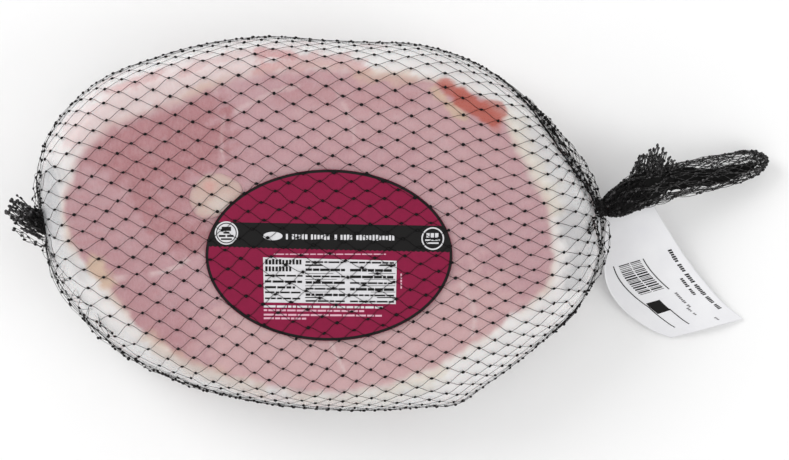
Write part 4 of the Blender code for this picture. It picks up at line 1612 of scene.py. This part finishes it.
def panel_marks():
    """The facts panel's heading, rules and rows of type, as boxes."""
    marks = []

    def rule(left, right, top, bottom):
        """A ruled line of the panel, in pixels."""
        marks.append(pixel_box(left, top, right, bottom))

    def row(left, right, y, height, seed, fill=0.72, letter=0.75):
        """A row of type in the panel, in pixels."""
        a, b = from_pixel(left, y), from_pixel(right, y)
        marks.extend(words(a[0], b[0], a[1], height, seed, fill, letter, -0.012))

    draw = np.random.default_rng(40)
    for top, left, right in HEAD_LINES:
        x, (_, y) = from_pixel(left, 0)[0], from_pixel(0, top + 2.8)
        while x < from_pixel(right, 0)[0]:
            marks.append((x, y - 1.3, x + draw.uniform(0.95, 1.25), y + draw.uniform(0.8, 1.35)))
            x += FACTS_PITCH
    for k, y in enumerate((275.0, 280.9, 286.6, 291.6, 297.6)):
        row(266.2, 303.5 if k != 2 else 296, y, 1.05 if k in (1, 2) else 0.8, 50 + k)
    rule(306, 395.6, 264.0, 265.7)
    rule(306, 395.4, 296.4, 297.4)
    for y in (272.9, 278.6, 285.0, 291.2):
        rule(306, 395.4, y, y + 0.5)
    for k, y in enumerate((261.4, 269.0, 275.6, 281.7, 287.9, 293.8, 300.0)):
        row(306.5, 345.5, y + 0.2, 1.15 if k in (1, 3, 5) else 0.8, 60 + k, 0.8)
        row(350.5, 394.0, y + 0.7, 1.25 if k in (1, 2, 4) else 0.8, 70 + k, 0.8)
    return marks


def label_print():
    """All the print on the label, gathered by its three colours."""
    outer, inner = (oval(LABEL_CENTRE, np.array(LABEL_HALF) - inset, LABEL_AROUND)
                    for inset in KEYLINE_INSETS)
    edge = band_outline()
    half = len(edge) // 2
    black = [slab(outer, inner, 0.05), strip(edge[:half], edge[half:][::-1], 0.05)]
    left_badge, right_badge = from_pixel(228, 233), from_pixel(432.4, 238.5)
    white = [spot(round_line(left_badge, BADGE_RADII[0]), left_badge, 0.09),
             slab(round_line(right_badge, BADGE_RADII[1]), round_line(right_badge, 4.75), 0.09)]
    black.append(slab(round_line(left_badge, 4.9), round_line(left_badge, 4.45), 0.12))
    black.append(badge_marks(left_badge, LEFT_MARKS, 0.12))
    white.append(badge_marks(right_badge, RIGHT_MARKS, 0.09))
    # a plain lozenge at the head of the band's line of type
    mark = from_pixel(274, 236)
    white.append(spot(oval(mark, (4.6, 2.0)), mark, 0.09))
    white.append(bars(band_type(), 0.09))
    # a fine line under the band
    (left, y), (right, _) = from_pixel(275, 254), from_pixel(386, 254)
    pale = [bars(words(left, right, y, 0.55, 32, letter=0.7), 0.06)]
    # the facts panel, a slightly askew box, and what is printed on it
    corners = np.array([from_pixel(*p) for p in PANEL_CORNERS])
    white.append(strip(spline(corners[:2], 12), spline(corners[[3, 2]], 12), 0.07))
    black.append(bars(panel_marks(), 0.10))
    # small white lines under the panel
    for k, (y, left, right) in enumerate(LOW_LINES):
        a, b = from_pixel(left, y), from_pixel(right, y)
        (white if k == 0 else pale).append(bars(words(a[0], b[0], a[1], 1.0 if k == 0 else 0.85,
                                                      80 + k, 0.76, 0.8, -0.01), 0.06))
    x, y = from_pixel(400.4, 288)
    pale.append(bars([(x, y + 1.5 * k, x + 0.7, y + 1.5 * k + 1.1) for k in range(5)], 0.06))
    make_piece("label_ink_black", *joined(black), black_ink, "label", False)
    make_piece("label_ink_white", *joined(white), white_ink, "label", False)
    make_piece("label_ink_pale", *joined(pale), pink_ink, "label", False)


label_print()

# %% [markdown]
# ## The hanging tag
#
# The tag is a strip of coated paper, looped through the net at the handle's root and folded down.
# It is a curved sheet between two smooth edges, with a low arch across it. The same function that
# makes the sheet places its print, so each bar bends with the paper. The print is only rules, a
# bar pattern, a dark box and greeked lines.

# %% The tag's sheet
TAG_LEFT_EDGE = ((138, 5.2, 22.5), (139, 0, 20.5), (138.2, -13.4, 14), (139.4, -29.6, 8),
                 (147.4, -42.4, 4.4), (161.0, -52.4, 2.2), (171.6, -56.7, 1.0))
TAG_RIGHT_EDGE = ((160.4, 11.6, 18.2), (162.6, 7.4, 17.6), (169.4, -3.8, 14), (178.8, -18, 9.6),
                  (188.8, -30.6, 5.6), (197.4, -40, 2.8), (207, -47.5, 1.0))
TAG_ARCH = (1.2, 3.0)  # mm at the handle and at the loose end
TAG_THICKNESS = 0.32
TAG_GRID = 240
TAG_LIP, TAG_LIP_REACH = 1.4, 0.035  # the sheet bulges a little more where it leaves the net
SHARE_STEP = 0.004  # for the sheet's slopes


def tag_points(along, across):
    """Points of the sheet: along is 0 at the handle, and across is 0 at the left edge."""
    along, across = np.asarray(along, float), np.asarray(across, float)
    place = np.clip(along, 0, 1) * (TAG_GRID - 1)
    i = np.minimum(place.astype(int), TAG_GRID - 2)
    t = (place - i)[..., None]
    edges = []
    for given in (TAG_LEFT_EDGE, TAG_RIGHT_EDGE):
        line = spline(given, TAG_GRID)
        edges.append(line[i] * (1 - t) + line[i + 1] * t)
    spots = edges[0] + (edges[1] - edges[0]) * across[..., None]
    arch = TAG_ARCH[0] + (TAG_ARCH[1] - TAG_ARCH[0]) * along
    spots[..., 2] += arch * np.sin(math.pi * across)
    lip = np.exp(-((along / TAG_LIP_REACH) ** 2)) * np.sin(math.pi * across)
    spots[..., 2] += TAG_LIP * lip
    return spots


def sheet_slab(along, across, below, above, slant=0.0):
    """A closed slab over a grid of shares, from below to above the sheet in mm."""
    u, v = np.meshgrid(along, across, indexing="ij")
    v = v + slant * (u - along[0]) / (along[-1] - along[0])
    middle = tag_points(u, v)
    du = tag_points(u + SHARE_STEP, v) - tag_points(u - SHARE_STEP, v)
    dv = tag_points(u, v + SHARE_STEP) - tag_points(u, v - SHARE_STEP)
    normal = unit(np.cross(du, dv))
    normal *= np.sign(normal[..., 2:3] + 1e-9)
    top, low = middle + normal * above, middle + normal * below
    m, n = u.shape
    i, j = np.meshgrid(np.arange(m - 1), np.arange(n - 1), indexing="ij")
    quad = np.stack((i * n + j, (i + 1) * n + j, (i + 1) * n + j + 1, i * n + j + 1), -1)
    quad = quad.reshape(-1, 4)
    rim = np.concatenate((np.arange(n), np.arange(2 * n - 1, m * n, n),
                          (m - 1) * n + np.arange(n - 2, -1, -1),
                          np.arange((m - 2) * n, 0, -n)))
    nxt = np.roll(rim, -1)
    side = np.stack((rim, rim + m * n, nxt + m * n, nxt), 1)
    if np.cross(du[0, 0], dv[0, 0])[2] <= 0:
        quad, side = quad[:, ::-1], side[:, ::-1]
    return (np.concatenate((top.reshape(-1, 3), low.reshape(-1, 3))),
            [quad, quad[:, ::-1] + m * n, side])


def paper_material():
    """White coated paper, a little uneven."""
    recipe = Recipe("tag_paper")
    clouds = recipe.noise(60.0, 3.0, 0.5)
    body = recipe.mix(recipe.span(clouds, 0.3, 0.7), rgb(233, 233, 236), rgb(240, 240, 242))
    recipe.plug(body, recipe.shader, "Base Color")
    recipe.surface(Roughness=0.36, Specular_IOR_Level=0.45)
    recipe.bump(clouds, 0.0006, 0.25)
    return recipe.material


half_thick = TAG_THICKNESS / 2
tag_piece = make_piece("tag_sheet", *sheet_slab(np.linspace(0, 1, 90), np.linspace(0, 1, 44),
                                                -half_thick, half_thick), paper_material(), "tag")
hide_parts("tag")


# %% [markdown]
# ## Print on the tag
#
# Shares of the sheet's length and width place every mark. `tag_bar` is a thin slab of ink between
# two shares along and two across, with enough steps to follow the curl.

# %% The tag's print
INK_BELOW, INK_ABOVE = 0.01, 0.05  # faces of the ink, off the paper
CODE_START, CODE_END = 0.436, 0.622  # the bar pattern's shares along the sheet
CODE_EDGE, CODE_DRIFT = 0.19, 0.095  # its lower edge at the start, and the move by the end
DARK_BARS = (  # along, along, across, across, slant
    (0.43, 0.70, 0.115, 0.128, 0.135), (0.70, 0.89, 0.250, 0.263, -0.02),
    (0.435, 0.63, 0.505, 0.518, 0.09), (0.745, 0.90, 0.420, 0.434, -0.015),
    (0.675, 0.755, 0.265, 0.425),
)


def tag_bar(along0, along1, across0, across1, slant=0.0):
    """A slab of ink; slant moves it across by that much over its length."""
    along_steps = max(2, int(abs(along1 - along0) * 60) + 1)
    across_steps = max(2, int(abs(across1 - across0) * 30) + 1)
    return sheet_slab(np.linspace(along0, along1, along_steps),
                      np.linspace(across0, across1, across_steps),
                      half_thick + INK_BELOW, half_thick + INK_ABOVE, slant)


def tag_line(along0, along1, across, height, seed, slant=0.0, letter=0.012):
    """A greeked line of type that runs along the sheet."""
    draw = np.random.default_rng(seed)
    marks, a = [], along0
    while a < along1 - letter:
        for _ in range(draw.integers(3, 8)):
            if a > along1:
                break
            rise = height * draw.uniform(0.7, 1.0)
            middle = across + slant * (a - along0) / (along1 - along0)
            marks.append(tag_bar(a, a + letter * 0.72, middle - rise / 2, middle + rise / 2))
            a += letter
        a += letter
    return marks


def tag_print():
    """Rules and a box, the bar pattern in two rows, and the lines of type."""
    dark = [tag_bar(*given) for given in DARK_BARS]
    draw = np.random.default_rng(90)
    a = CODE_START
    while a < CODE_END:
        width = draw.choice((0.003, 0.005, 0.008))
        low = CODE_EDGE + CODE_DRIFT * (a - CODE_START) / (CODE_END - CODE_START)
        dark.append(tag_bar(a, a + width, low, low + 0.135))
        dark.append(tag_bar(a, a + width, low + 0.150, low + 0.280))
        a += width + draw.choice((0.004, 0.006))
    dark += tag_line(0.43, 0.875, 0.872, 0.052, 91, 0.035) + tag_line(0.59, 0.70, 0.80, 0.045, 92)
    grey = tag_line(0.66, 0.77, 0.635, 0.035, 93) + tag_line(0.775, 0.84, 0.60, 0.03, 94)
    grey += tag_line(0.915, 0.95, 0.74, 0.03, 95)
    make_piece("tag_ink_dark", *joined(dark), black_ink, "tag", False)
    make_piece("tag_ink_grey", *joined(grey), grey_ink, "tag", False)


tag_print()
